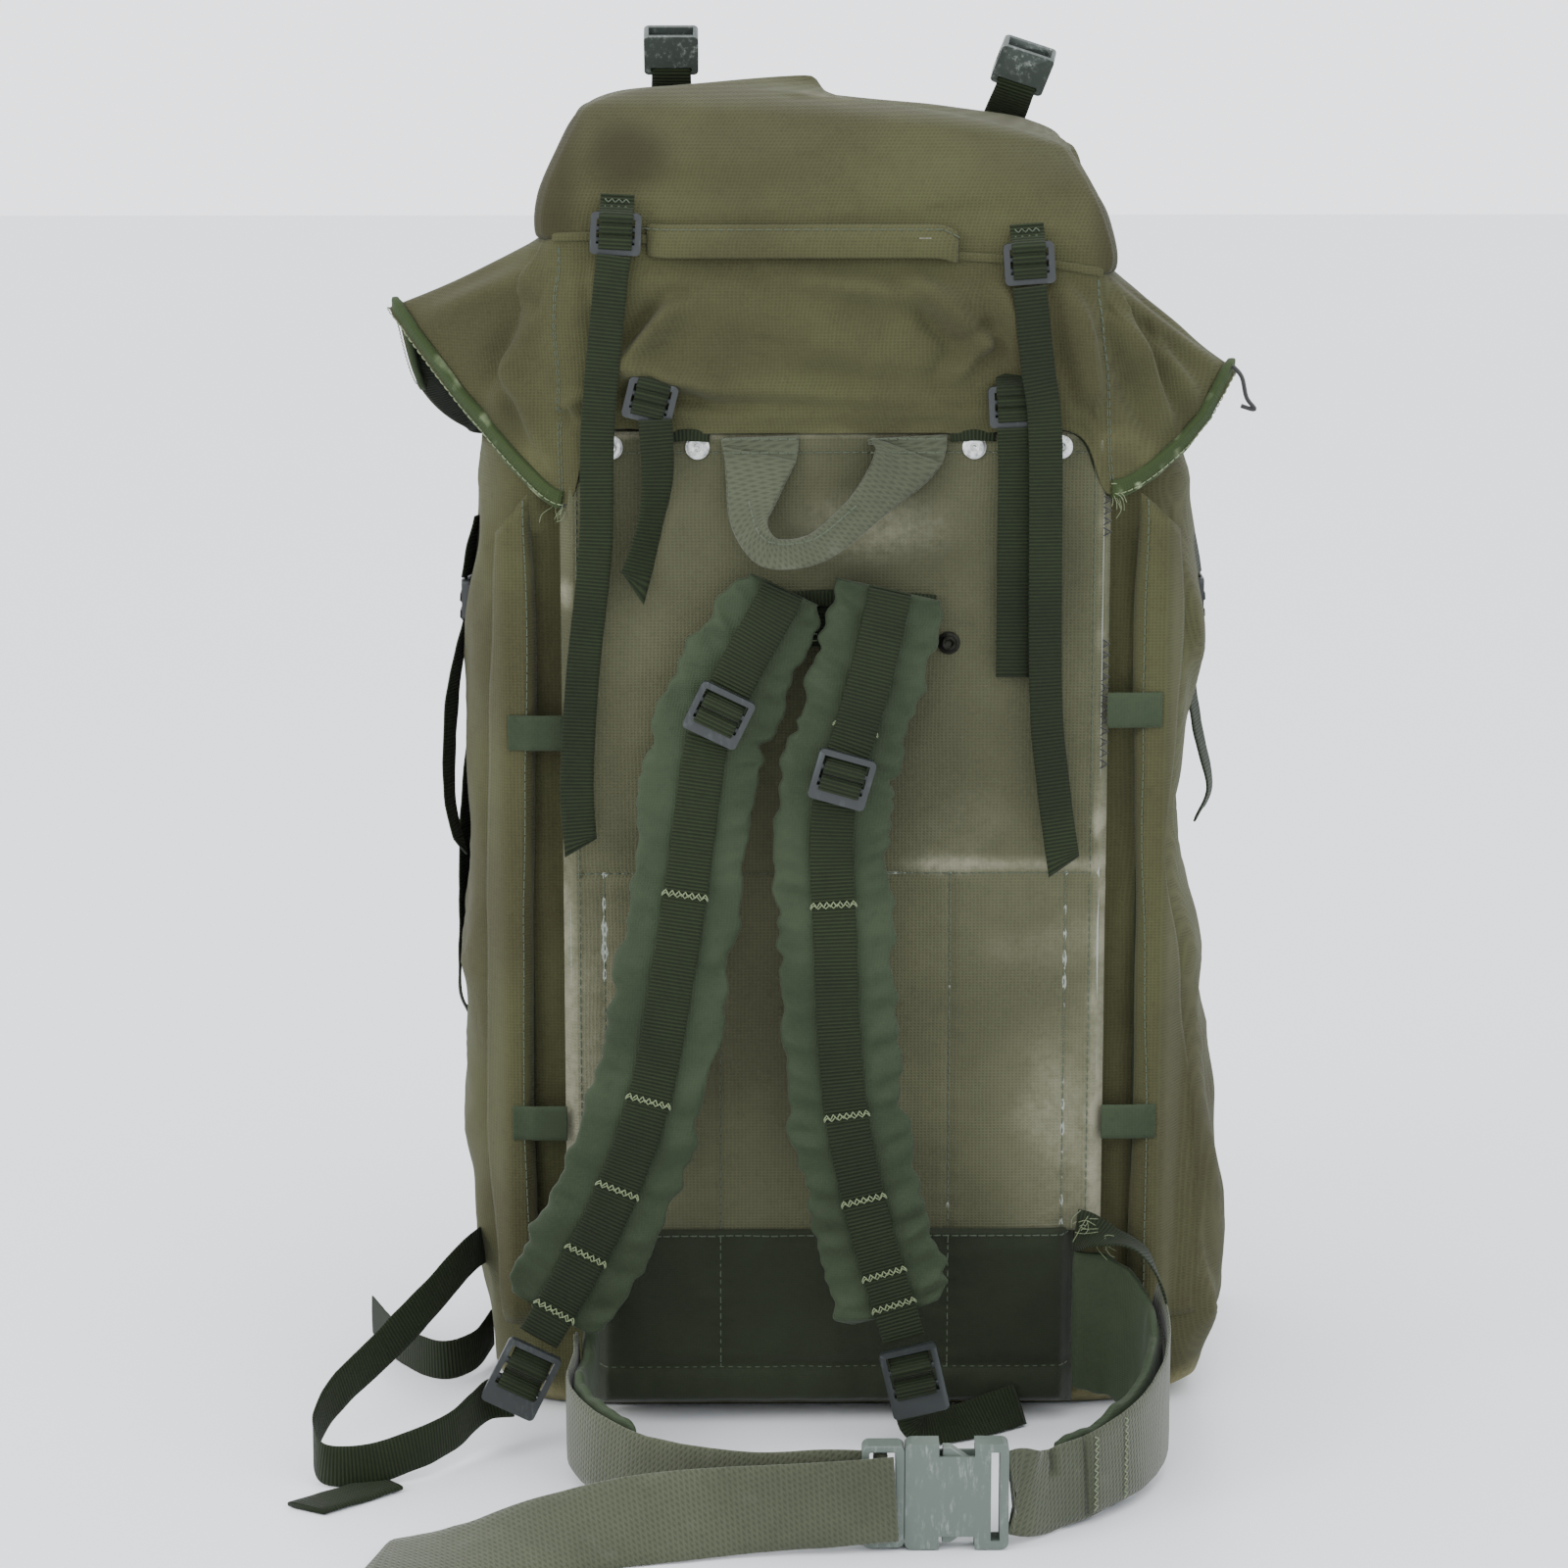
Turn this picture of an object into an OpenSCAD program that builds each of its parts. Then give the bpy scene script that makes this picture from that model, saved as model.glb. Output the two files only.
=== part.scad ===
// Framed rucksack standing on its base, seen from its harness side.
// Millimetres. The origin is the centre of the base, +Z is up, and the back
// panel with its shoulder straps and waist belt faces -Y.

/* [Sack] */
// Width of the main sack
sack_w = 420; // [350:1:504]
// Depth of the main sack, back panel not included
sack_d = 250; // [200:1:310]
// Height of the main sack's rim above the ground
sack_h = 590; // [490:1:710]
// Thickness of the coated canvas
canvas_t = 2; // [1.5:0.1:3]
// Radius of the sack's upright corners
corner_r = 14; // [8:1:18]
// Height of the drawcord collar above the rim
collar_h = 60; // [40:1:75]

/* [Back panel] */
// Width of the sleeve that holds the frame sheet
panel_w = 320; // [260:1:330]
// Thickness of the sleeve with the sheet, the stays and the foam in it
panel_t = 12; // [12:0.5:18]
// Height of the sleeve's lower edge
panel_z = 118; // [90:1:130]
// Thickness of the plastic frame sheet
sheet_t = 1.6; // [1.2:0.1:2.4]
// Thickness of each aluminium stay
stay_t = 3; // [2:0.5:4]
// Diameter of the rivet heads
rivet_d = 14; // [10:1:18]
// Width of the lumbar pad
lumbar_w = 276; // [220:1:300]
// Thickness of the lumbar pad
lumbar_t = 18; // [12:1:24]

/* [Lid] */
// Height of the hood's seam above the hinge line
hood_h = 110; // [95:1:130]
// Height of the zipped pocket above that seam
pocket_h = 73; // [55:1:95]
// How much lower the pocket hangs on its slack side
lid_sag = 14; // [0:1:20]
// How far each wing of the hood sticks out past the sack
wing_out = 46; // [20:1:50]

/* [Straps] */
// Width of the shoulder pads
pad_w = 70; // [55:1:74]
// Thickness of the shoulder pads
pad_t = 14; // [8:1:17]
// Width of the shoulder webbing
strap_w = 25; // [20:1:30]
// Thickness of the shoulder, lid and side webbing
strap_t = 1.6; // [1.2:0.1:2]
// Width of the lid and side webbing
tail_w = 20; // [15:1:24]
// Thickness of the ladder-lock buckles
lock_t = 5; // [4:0.5:6]

/* [Waist belt] */
// Width of the belt webbing
belt_w = 50; // [40:1:52]
// Thickness of the belt webbing
belt_t = 2.2; // [1.6:0.1:2.6]
// Thickness of the hip pads
hip_t = 9; // [6:1:12]
// Length of the side-release buckle's socket
socket_l = 58; // [58:1:66]
// Thickness of the side-release buckle
buckle_t = 14; // [14:1:18]

/* [Front pocket] */
// Width of the front pocket
pouch_w = 220; // [160:1:240]
// Depth of the front pocket
pouch_d = 52; // [35:1:70]
// Height of the front pocket
pouch_h = 310; // [220:1:330]

/* [Hidden] */

$fn = 48;
run_gap = 0.3;                 // clearance round pieces that move
sewn_gap = 0.2;                // between layers that lie on each other
nominal_h = 590;               // sack height that the routes below are laid out for

back_y = -sack_d / 2;
front_y = sack_d / 2;
side_x = sack_w / 2;
panel_y = back_y - panel_t;    // face of the back panel
panel_top = sack_h + 10;
panel_h = panel_top - panel_z;

base_t = 2;                    // reinforcing patch under the sack
collar_t = 1.5;
collar_inset = 1;              // the collar stands just inside the rim
drawcord_r = 2;

// The hinge line runs along the upper edge of the back panel.
hinge_y = panel_y - 4;
hinge_z = panel_top + 2;
seam_z = hinge_z + hood_h;
lid_top = seam_z + pocket_h;
hood_gap = 9;                  // between the sack's front and the hood
hood_drop = 42;                // how far the hood's front hangs below the hinge
wing_z = hinge_z + 44;         // height of the wing tips
hood_t = 2;

green = "#3f4a33";
canvas = "#625d40";
faded = "#716c58";
webbing = "#30361f";
belt_grey = "#62665a";
plastic = "#2f3434";
buckle_grey = "#66726a";

// ---------------------------------------------------------------- helpers

module rounded_rect(w, d, r) {
    square([w - 2 * r, d], center = true);
    square([w, d - 2 * r], center = true);
    for (x = [-1, 1], y = [-1, 1])
        translate([x * (w / 2 - r), y * (d / 2 - r)]) circle(r);
}

module block(low, high) {
    translate(low) cube(high - low);
}

function unit(v) = v / norm(v);

// Height on the back that keeps its share of the sack's height
function up(z) = z * sack_h / nominal_h;

// Catmull-Rom curve through hand-set points; works on any vector length
function curve_at(a, b, c, d, t) =
    0.5 * (2 * b + (c - a) * t + (2 * a - 5 * b + 4 * c - d) * t * t
           + (3 * b - a - 3 * c + d) * t * t * t);
function smooth(points, steps) = [
    for (i = [0 : len(points) - 2], k = [0 : steps - 1])
        curve_at(points[max(i - 1, 0)], points[i], points[i + 1],
                 points[min(i + 2, len(points) - 1)], k / steps),
    points[len(points) - 1]
];

function xyz(p) = [p[0], p[1], p[2]];
function heading(route, i) = unit(
    xyz(route[min(i + 1, len(route) - 1)]) - xyz(route[max(i - 1, 0)]));

// Sweeps a section along a route. Each station is [x, y, z, facing, width]
// with the facing as three numbers, so the band turns its face to it. The
// section's points are [share of the half width, height off the middle].
module sweep(route, section) {
    n = len(section);
    last = len(route) - 1;
    rings = [
        for (i = [0 : last])
            let (along = heading(route, i),
                 out = [route[i][3], route[i][4], route[i][5]],
                 side = unit(cross(along, out)),
                 face = cross(side, along))
            for (p = section)
                xyz(route[i]) + side * p[0] * route[i][6] / 2 + face * p[1]
    ];
    walls = [
        for (i = [0 : last - 1], j = [0 : n - 1])
            let (k = (j + 1) % n)
            each [[i * n + j, (i + 1) * n + j, (i + 1) * n + k],
                  [i * n + j, (i + 1) * n + k, i * n + k]]
    ];
    near = [for (j = [0 : n - 1]) j];
    far = [for (j = [n - 1 : -1 : 0]) last * n + j];
    polyhedron(rings, concat([near], walls, [far]), convexity = 6);
}

function flat_section(t, off = 0) =
    [[1, off + t / 2], [1, off - t / 2], [-1, off - t / 2], [-1, off + t / 2]];
function pad_section(t) =
    [[1, t * 0.15], [1, -t * 0.15], [0.76, -t / 2], [-0.76, -t / 2],
     [-1, -t * 0.15], [-1, t * 0.15], [-0.76, t / 2], [0.76, t / 2]];

// Adds a level facing, square to the route, so that the band stands on its edge
function standing(points, w, turn = 1) = [
    for (i = [0 : len(points) - 1])
        let (along = heading(points, i), level = unit([along[0], along[1], 0]))
        concat(points[i], [turn * level[1], -turn * level[0], 0], [w])
];

// A ladder-lock: an open frame with two cross bars and a solid lifting tongue.
// Its webbing runs along Z and its face is -Y.
module ladder_lock(w, length) {
    rail = 3.5;
    outer = w + 2 * rail + 2;
    window = length * 0.6;
    window_z = length / 2 - rail - window / 2;
    difference() {
        rotate([90, 0, 0]) translate([0, 0, -lock_t / 2])
            linear_extrude(lock_t) rounded_rect(outer, length, 3);
        translate([0, 0, window_z]) cube([w + 2, lock_t + 1, window], center = true);
    }
    for (share = [0.1, -0.35])
        translate([-(w + 2) / 2, 0, window_z + share * window])
            rotate([0, 90, 0]) cylinder(r = lock_t * 0.4, h = w + 2);
}

// A small side-release socket; its mouth looks along +Z
module small_socket(w) {
    outer = w + 8;
    h = 30;
    t = 11;
    difference() {
        translate([0, 0, h / 2]) rotate([90, 0, 0]) translate([0, 0, -t / 2])
            linear_extrude(t) rounded_rect(outer, h, 3);
        translate([0, 0, h / 2 + 8]) cube([w + 2, t - 4, h - 6], center = true);
        for (x = [-1, 1])
            translate([x * outer / 2, 0, h * 0.55]) cube([8, t - 4, 10], center = true);
        translate([0, 0, 4]) cube([w, t + 1, 3], center = true);
    }
}

// A small side-release plug with its two arms pointing along -Z
module small_plug(w) {
    t = 5;
    block([-w / 2 - 3, -t / 2, 0], [w / 2 + 3, t / 2, 3]);
    block([-w / 2 - 3, -t / 2, 3], [-w / 2, t / 2, 13]);
    block([w / 2, -t / 2, 3], [w / 2 + 3, t / 2, 13]);
    block([-w / 2 - 3, -t / 2, 13], [w / 2 + 3, t / 2, 16]);
    for (x = [-1, 0, 1])
        block([x * w * 0.4 - 2, -t / 2, -22], [x * w * 0.4 + 2, t / 2, 0]);
}

// ---------------------------------------------------------------- main sack

module base_patch() {
    color(webbing) linear_extrude(base_t) rounded_rect(sack_w, sack_d, corner_r);
}

module main_sack() {
    color(canvas) difference() {
        translate([0, 0, base_t]) linear_extrude(sack_h - base_t)
            rounded_rect(sack_w, sack_d, corner_r);
        translate([0, 0, base_t + canvas_t]) linear_extrude(sack_h)
            rounded_rect(sack_w - 2 * canvas_t, sack_d - 2 * canvas_t, corner_r - canvas_t);
    }
}

collar_w = sack_w - 2 * collar_inset;
collar_d = sack_d - 2 * collar_inset;
collar_r = corner_r - collar_inset;

module snow_collar() {
    color(green) translate([0, 0, sack_h]) linear_extrude(collar_h) difference() {
        rounded_rect(collar_w, collar_d, collar_r);
        rounded_rect(collar_w - 2 * collar_t, collar_d - 2 * collar_t, collar_r - collar_t);
    }
}

// The cord runs round the top hem of the collar
module collar_drawcord() {
    inset = drawcord_r;
    x = collar_w / 2 - inset;
    y = collar_d / 2 - inset;
    r = collar_r - inset;
    color("black") translate([0, 0, sack_h + collar_h + drawcord_r]) {
        for (s = [-1, 1]) {
            translate([-(x - r), s * y, 0]) rotate([0, 90, 0])
                cylinder(r = drawcord_r, h = 2 * (x - r));
            translate([s * x, y - r, 0]) rotate([90, 0, 0])
                cylinder(r = drawcord_r, h = 2 * (y - r));
        }
        for (q = [0 : 3])
            translate([(x - r) * (q == 0 || q == 3 ? 1 : -1), (y - r) * (q < 2 ? 1 : -1), 0])
                rotate([0, 0, q * 90]) rotate_extrude(angle = 90)
                    translate([r, 0]) circle(drawcord_r);
    }
}

// Cord lock: a barrel on a short tab, a sprung plunger in it, and a cross hole
// through both for the cord's two ends.
lock_r = 9;
lock_h = 22;
lock_y = front_y - 24;
lock_z = sack_h + 20;
plunger_r = 6.5;
plunger_travel = 5;
lock_floor = 3;
spring_h = 8;
cross_r = 2.6;

module cord_lock_barrel() {
    color(plastic) translate([0, lock_y, lock_z]) difference() {
        union() {
            cylinder(r = lock_r, h = lock_h);
            // the tab that sews it to the collar
            block([-5, lock_r - 1, 6], [5, front_y - collar_inset - collar_t - lock_y, 7.6]);
        }
        translate([0, 0, lock_floor]) cylinder(r = plunger_r + run_gap, h = lock_h);
        translate([-lock_r - 1, 0, lock_h - 5]) rotate([0, 90, 0])
            cylinder(r = cross_r, h = 2 * lock_r + 2);
    }
}

module cord_lock_plunger() {
    foot = lock_floor + spring_h;
    color(plastic) translate([0, lock_y, lock_z]) difference() {
        translate([0, 0, foot]) cylinder(r = plunger_r, h = lock_h + plunger_travel + 3 - foot);
        translate([-lock_r, 0, lock_h - 5 + plunger_travel]) rotate([0, 90, 0])
            cylinder(r = cross_r, h = 2 * lock_r);
    }
}

module cord_lock_spring() {
    wire = 0.5;
    turns = 4;
    color("silver") translate([0, lock_y, lock_z + lock_floor])
        for (i = [0 : turns - 1])
            translate([0, 0, wire + i * (spring_h - 2 * wire) / (turns - 1)])
                rotate_extrude() translate([4.5, 0]) circle(wire);
}

// ---------------------------------------------------------------- back panel

sleeve_t = 1.2;
foam_t = panel_t - 2 * sleeve_t - sheet_t - stay_t - 4 * sewn_gap;
foam_y = panel_y + sleeve_t + sewn_gap;
sheet_y = foam_y + foam_t + sewn_gap;
stay_y = sheet_y + sheet_t + sewn_gap;
insert_w = panel_w - 8;
insert_z = panel_z + sleeve_t + 2;
insert_h = panel_h - 2 * sleeve_t - 4;
rivet_inset = 30;              // outer rivets, in from the panel's sides
rivet_x = [rivet_inset - panel_w / 2, -80, 80, panel_w / 2 - rivet_inset];
rivet_z = panel_top - 9;
shank_r = 2.5;
rivet_head = 1.2;
rivet_tail = 0.8;
bore_gap = 0.05;
stay_x = 105;
stay_w = 20;

module rivet_bores() {
    for (x = rivet_x)
        translate([x, panel_y + panel_t, rivet_z]) rotate([90, 0, 0])
            cylinder(r = shank_r + bore_gap, h = 2 * panel_t);
}

module back_panel() {
    color(faded) difference() {
        block([-panel_w / 2, panel_y, panel_z], [panel_w / 2, back_y, panel_top]);
        block([-insert_w / 2 - 1, panel_y + sleeve_t, panel_z + sleeve_t],
              [insert_w / 2 + 1, back_y - sleeve_t, panel_top - sleeve_t]);
        for (x = rivet_x)
            translate([x, panel_y + sleeve_t + 0.1, rivet_z]) rotate([90, 0, 0])
                cylinder(r = shank_r + bore_gap, h = sleeve_t + 1);
    }
}

module insert(y, t, w = insert_w) {
    difference() {
        translate([0, y + t, insert_z + insert_h / 2]) rotate([90, 0, 0])
            linear_extrude(t) rounded_rect(w, insert_h, 20);
        rivet_bores();
    }
}

module back_foam() {
    color("#8a8f86") insert(foam_y, foam_t);
}

module frame_sheet() {
    color("#d8d8d0") insert(sheet_y, sheet_t);
}

module frame_stays() {
    color("silver") for (s = [-1, 1])
        translate([s * stay_x, stay_y + stay_t, insert_z + insert_h / 2 - 6]) rotate([90, 0, 0])
            linear_extrude(stay_t) rounded_rect(stay_w, insert_h - 30, 6);
}

module frame_rivets() {
    color("silver") for (x = rivet_x)
        translate([x, 0, rivet_z]) rotate([90, 0, 0]) difference() {
            union() {
                translate([0, 0, -panel_y]) cylinder(r = rivet_d / 2, h = rivet_head);
                translate([0, 0, -sheet_y - sheet_t]) cylinder(r = shank_r, h = sheet_y + sheet_t - panel_y);
                translate([0, 0, -sheet_y - sheet_t - rivet_tail]) cylinder(r = 5, h = rivet_tail);
            }
            translate([0, 0, -sheet_y - sheet_t - rivet_tail - 1]) cylinder(r = 1.2, h = 2 * panel_t);
        }
}

lumbar_top = panel_z - 0.5;
lumbar_z = 8;

module lumbar_pad() {
    h = lumbar_top - lumbar_z;
    color(green) translate([0, back_y - run_gap, lumbar_z + h / 2]) rotate([90, 0, 0])
        linear_extrude(lumbar_t) rounded_rect(lumbar_w, h, 14);
}

module panel_snap() {
    color("black") translate([66, panel_y, up(476)]) rotate([90, 0, 0]) {
        cylinder(r = 6.5, h = 1.4);
        cylinder(r = 4.5, h = 3);
    }
}

// Reinforcement across the tops of the shoulder straps, with its middle tab
yoke_z = up(513);
yoke_t = 2.2;

module yoke_plate(low_x, high_x, low_z, high_z) {
    block([low_x, panel_y - yoke_t, low_z], [high_x, panel_y, high_z]);
}

module strap_yoke() {
    color(webbing) {
        yoke_plate(-66, 66, yoke_z + 1, yoke_z + 9);
        yoke_plate(-9, 9, yoke_z - 36, yoke_z + 1);
    }
}

// Triangles of hood cloth that are sewn down below the hinge line
gusset_t = 1.6;

module hood_gussets() {
    color(canvas) for (s = [-1, 1])
        translate([0, back_y - 0.4, 0]) rotate([90, 0, 0]) linear_extrude(gusset_t)
            polygon([[s * (panel_w / 2 + 1), panel_top - 50], [s * (panel_w / 2 + 1), hinge_z - 3],
                     [s * side_x, hinge_z - 3]]);
}

// ---------------------------------------------------------------- side zips

zip_x = side_x - 25;           // middle of each zip
zip_low = 62;
zip_high = panel_top - 56;
tape_t = 0.8;
bead_t = 1.6;
bead_w = 4;
slider_l = 12;
slider_w = 10;
slider_wall = 1.4;
flap_t = 1.5;
flap_y = panel_y + flap_t;     // inner face of the weather flap
flap_edge = side_x - 34;       // free edge of the weather flap

module side_zips() {
    color("#2b3120") for (s = [-1, 1]) {
        block([s * zip_x - 7, back_y - tape_t, zip_low], [s * zip_x + 7, back_y, zip_high]);
        block([s * zip_x - bead_w / 2, back_y - tape_t - bead_t, zip_low],
              [s * zip_x + bead_w / 2, back_y - tape_t, zip_high]);
    }
}

// Slider that wraps the bead, with its pull tab hanging below
module zip_slider_body(w, l, pull) {
    depth = bead_t + run_gap + slider_wall;
    difference() {
        block([-w / 2, -depth, -l], [w / 2, -run_gap, 0]);
        block([-bead_w / 2 - run_gap, -bead_t - run_gap, -l - 1], [bead_w / 2 + run_gap, 1, 1]);
    }
    block([-1.2, -depth - 1.6, -l + 2], [1.2, -depth, -2]);
    block([-2.5, -depth - 3, -l + 1 - pull], [2.5, -depth - 1.6, -4]);
}

module side_slider(s) {
    color("silver") translate([s * zip_x, back_y - tape_t, zip_high - 6])
        zip_slider_body(slider_w, slider_l, 16);
}

module side_slider_left() {
    side_slider(-1);
}

module side_slider_right() {
    side_slider(1);
}

module side_flaps() {
    seam = side_x - 9;
    color(canvas) for (s = [-1, 1]) {
        block([min(s * flap_edge, s * (seam + 3)), panel_y, zip_low - 4],
              [max(s * flap_edge, s * (seam + 3)), flap_y, zip_high + 4]);
        block([min(s * seam, s * (seam + 3)), flap_y, zip_low - 4],
              [max(s * seam, s * (seam + 3)), back_y + 0.8, zip_high + 4]);
    }
}

// Short webbing bridges between the flaps and the panel
loop_t = 1.6;

module edge_loops() {
    color(green) for (at = [[-1, 423], [-1, 186], [1, 186], [1, 436]])
        block([at[0] * (side_x - 32) - 13, panel_y - loop_t, up(at[1]) - 12],
              [at[0] * (side_x - 32) + 13, panel_y, up(at[1]) + 12]);
}

// ---------------------------------------------------------------- front pouch

pouch_z = 84;
pouch_top = pouch_z + pouch_h;
pouch_front = front_y + pouch_d;
pouch_wall = 2;
flap_cover = 60;               // how far the pouch flap hangs down in front
snap_x = 70;
snap_z = pouch_top - 38;
flap_hinge_y = front_y + 3;
flap_hinge_z = pouch_top + 3;

module front_pouch() {
    color(canvas) difference() {
        block([-pouch_w / 2, front_y, pouch_z], [pouch_w / 2, pouch_front, pouch_top]);
        block([-pouch_w / 2 + pouch_wall, front_y + pouch_wall, pouch_z + pouch_wall],
              [pouch_w / 2 - pouch_wall, pouch_front - pouch_wall, pouch_top + 1]);
        for (s = [-1, 1])
            translate([s * snap_x, pouch_front + 1, snap_z]) rotate([90, 0, 0])
                cylinder(r = 2.05, h = pouch_wall + 2);
    }
}

module pouch_flap() {
    over = 6;
    color(canvas) {
        block([-pouch_w / 2 - over, flap_hinge_y - 1.5, flap_hinge_z - 1.5],
              [pouch_w / 2 + over, pouch_front + 4, flap_hinge_z + 1.5]);
        difference() {
            block([-pouch_w / 2 - over, pouch_front + 2, pouch_top - flap_cover],
                  [pouch_w / 2 + over, pouch_front + 4, flap_hinge_z - 1.5]);
            for (s = [-1, 1])
                translate([s * snap_x, pouch_front + 5, snap_z]) rotate([90, 0, 0])
                    cylinder(r = 2.05, h = 4);
        }
    }
}

// Caps are on the flap and grip nothing else; studs are in the pouch's wall
module pouch_snap_caps() {
    color("silver") for (s = [-1, 1])
        translate([s * snap_x, pouch_front + 4, snap_z]) rotate([-90, 0, 0]) {
            cylinder(r = 6.5, h = 1.2);
            translate([0, 0, -2]) cylinder(r = 2, h = 2);
        }
}

module pouch_snap_studs() {
    color("silver") for (s = [-1, 1])
        translate([s * snap_x, pouch_front, snap_z]) rotate([-90, 0, 0]) {
            cylinder(r = 5, h = 0.8);
            cylinder(r = 2, h = 1.6);
            translate([0, 0, -pouch_wall]) cylinder(r = 2, h = pouch_wall);
        }
}

// Lid straps at the front. They are undone, so each end hangs folded down.
front_strap_x = pouch_w / 2 + 34;
front_strap_top = up(470);

module front_straps() {
    lay = front_y + strap_t / 2 + sewn_gap;
    // [distance out, height, facing in Y, facing in Z], over the fold and down
    run = [[0, 66, 1, 0], [0, 250, 1, 0], [0, 450, 1, 0], [1.5, 463, 0.9, -0.4], [5.5, 468, 0, -1],
           [9.5, 463, -0.9, -0.4], [11, 450, -1, 0], [11, 398, -1, 0]];
    color(webbing) for (s = [-1, 1])
        sweep(smooth([for (p = run) [s * front_strap_x, lay + p[0], up(p[1]), 0, p[2], p[3], strap_w]],
                     4), flat_section(strap_t));
}

module front_strap_tips() {
    color(plastic) for (s = [-1, 1])
        translate([s * front_strap_x, front_y + 12, up(398) - 17]) small_plug(strap_w);
}

// ---------------------------------------------------------------- side straps

// Upper side straps hang in tails, and lower ones lie out on the ground.
side_tab_y = back_y + 65;

module side_band(s, points, w) {
    sweep(smooth([for (p = points) [s * (side_x + p[0]), p[1], p[2], s, 0, 0, w]], 4),
          flat_section(strap_t));
}

module side_straps() {
    hold = 1.2;                // sewn end against the sack
    color(webbing) {
        side_band(-1, [[hold, side_tab_y, up(540)], [5, side_tab_y, up(524)],
                       [8, side_tab_y, up(504)]], tail_w);
        side_band(-1, [[9, side_tab_y, up(478)], [14, side_tab_y, up(455)], [19, side_tab_y, up(425)],
                       [21, side_tab_y, up(370)], [14, side_tab_y, up(337)]], tail_w);
        side_band(-1, [[hold, back_y + 105, up(400)], [6, back_y + 105, up(350)],
                       [11, back_y + 105, up(290)], [15, back_y + 105, up(240)],
                       [10, back_y + 105, up(223)]], tail_w);
        side_band(1, [[hold, side_tab_y, up(540)], [5, side_tab_y, up(524)],
                      [8, side_tab_y, up(504)]], tail_w);
        side_band(1, [[9, side_tab_y, up(478)], [5, side_tab_y, up(450)], [10, side_tab_y, up(411)],
                      [18, side_tab_y, up(375)], [12, side_tab_y, up(358)]], tail_w);
        // lower left, standing on its edge on the ground
        sweep(standing(smooth([[-side_x - 1.4, -25, 20], [-side_x - 12, -56, 15],
                               [-side_x - 32, -66, strap_w / 2 + 0.5],
                               [-side_x - 58, -36, strap_w / 2 + 0.5],
                               [-side_x - 80, 22, strap_w / 2 + 0.5]], 5), strap_w),
              flat_section(strap_t));
        // lower right, folded through its ladder-lock
        sweep(smooth([[side_x + hold, 92, 62, 1, 0, 0.2, strap_w], [side_x + 16, 92, 52, 0.7, 0, 1, strap_w],
                      [side_x + 31, 92, 38, 1, 0, 0.6, strap_w]], 4), flat_section(strap_t));
        sweep(smooth([[side_x + 36, 92, 12, 1, 0, -1, strap_w], [side_x + 24, 92, 5, 0.2, 0, -1, strap_w],
                      [side_x + 8, 92, 6, -0.1, 0, -1, strap_w]], 4), flat_section(strap_t));
    }
}

module side_lock(s) {
    translate([s * (side_x + 8.6), side_tab_y, up(491)]) rotate([0, 0, s * 90])
        ladder_lock(tail_w, 24);
}

module side_locks() {
    color(plastic) {
        side_lock(-1);
        side_lock(1);
        translate([side_x + 38, 92, 25]) rotate([0, 20, 0]) rotate([0, 0, 90])
            ladder_lock(strap_w, 18);
    }
}

// ---------------------------------------------------------------- haul handle

handle_y = panel_y - 4;
handle_z = panel_top - 4;
handle_t = 4;

module haul_handle() {
    color(belt_grey) sweep(smooth([
        [-44, handle_y, handle_z, 0, -1, 0, 44],
        [-44, handle_y - 1, handle_z - 8, 0, -1, 0, 42],
        [-48, handle_y - 6, handle_z - 26, 0, -1, 0, 34],
        [-51, handle_y - 15, handle_z - 46, 0, -1, 0, 27],
        [-38, handle_y - 22, handle_z - 61, 0, -1, 0, 26],
        [-12, handle_y - 20, handle_z - 58, 0, -1, 0, 26],
        [14, handle_y - 12, handle_z - 41, 0, -1, 0, 27],
        [34, handle_y - 5, handle_z - 22, 0, -1, 0, 34],
        [41, handle_y - 1, handle_z - 8, 0, -1, 0, 42],
        [41, handle_y, handle_z, 0, -1, 0, 44]], 3), flat_section(handle_t));
}

// ---------------------------------------------------------------- shoulder straps

// Middle line of each pad: [x, distance out from the panel, height]
left_line = [[-31, 13, 511], [-37, 15, 499], [-56, 20, 466], [-73, 25, 430], [-79, 29, 399],
             [-87, 34, 341], [-96, 38, 284], [-108, 43, 220], [-128, 47, 161],
             [-151, 50, 114], [-168, 52, 84]];
right_line = [[31, 13, 510], [28, 15, 497], [20, 20, 464], [10, 25, 428], [0, 29, 399],
              [-3, 33, 360], [-1, 37, 315], [1, 41, 260], [6, 45, 205],
              [16, 49, 155], [27, 51, 114], [36, 52, 84]];
// The pads widen from their sewn tops and round off at their lower ends
function taper(i, n) = i >= n - 1 ? 0.78 : min(1, 0.7 + 0.034 * i);
function pad_route(line, w) = smooth([
    for (i = [0 : len(line) - 1])
        [line[i][0], panel_y - line[i][1], up(line[i][2]), 0, -1, 0, w]], 3);
function pad_stations(line) = [
    let (route = pad_route(line, pad_w))
    for (i = [0 : len(route) - 1])
        concat(xyz(route[i]), [0, -1, 0], [pad_w * taper(i, len(route))])];

module shoulder_pad(line) {
    color(green) sweep(pad_stations(line), pad_section(pad_t));
}

module shoulder_pad_left() {
    shoulder_pad(left_line);
}

module shoulder_pad_right() {
    shoulder_pad(right_line);
}

web_off = pad_t / 2 + strap_t / 2 + sewn_gap;

module shoulder_webbing(line, tip) {
    color(webbing) sweep(pad_route(concat(line, [tip]), strap_w), flat_section(strap_t, web_off));
}

module shoulder_webbing_left() {
    shoulder_webbing(left_line, [-175, 52, 72]);
}

module shoulder_webbing_right() {
    shoulder_webbing(right_line, [40, 52, 70]);
}

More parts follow.
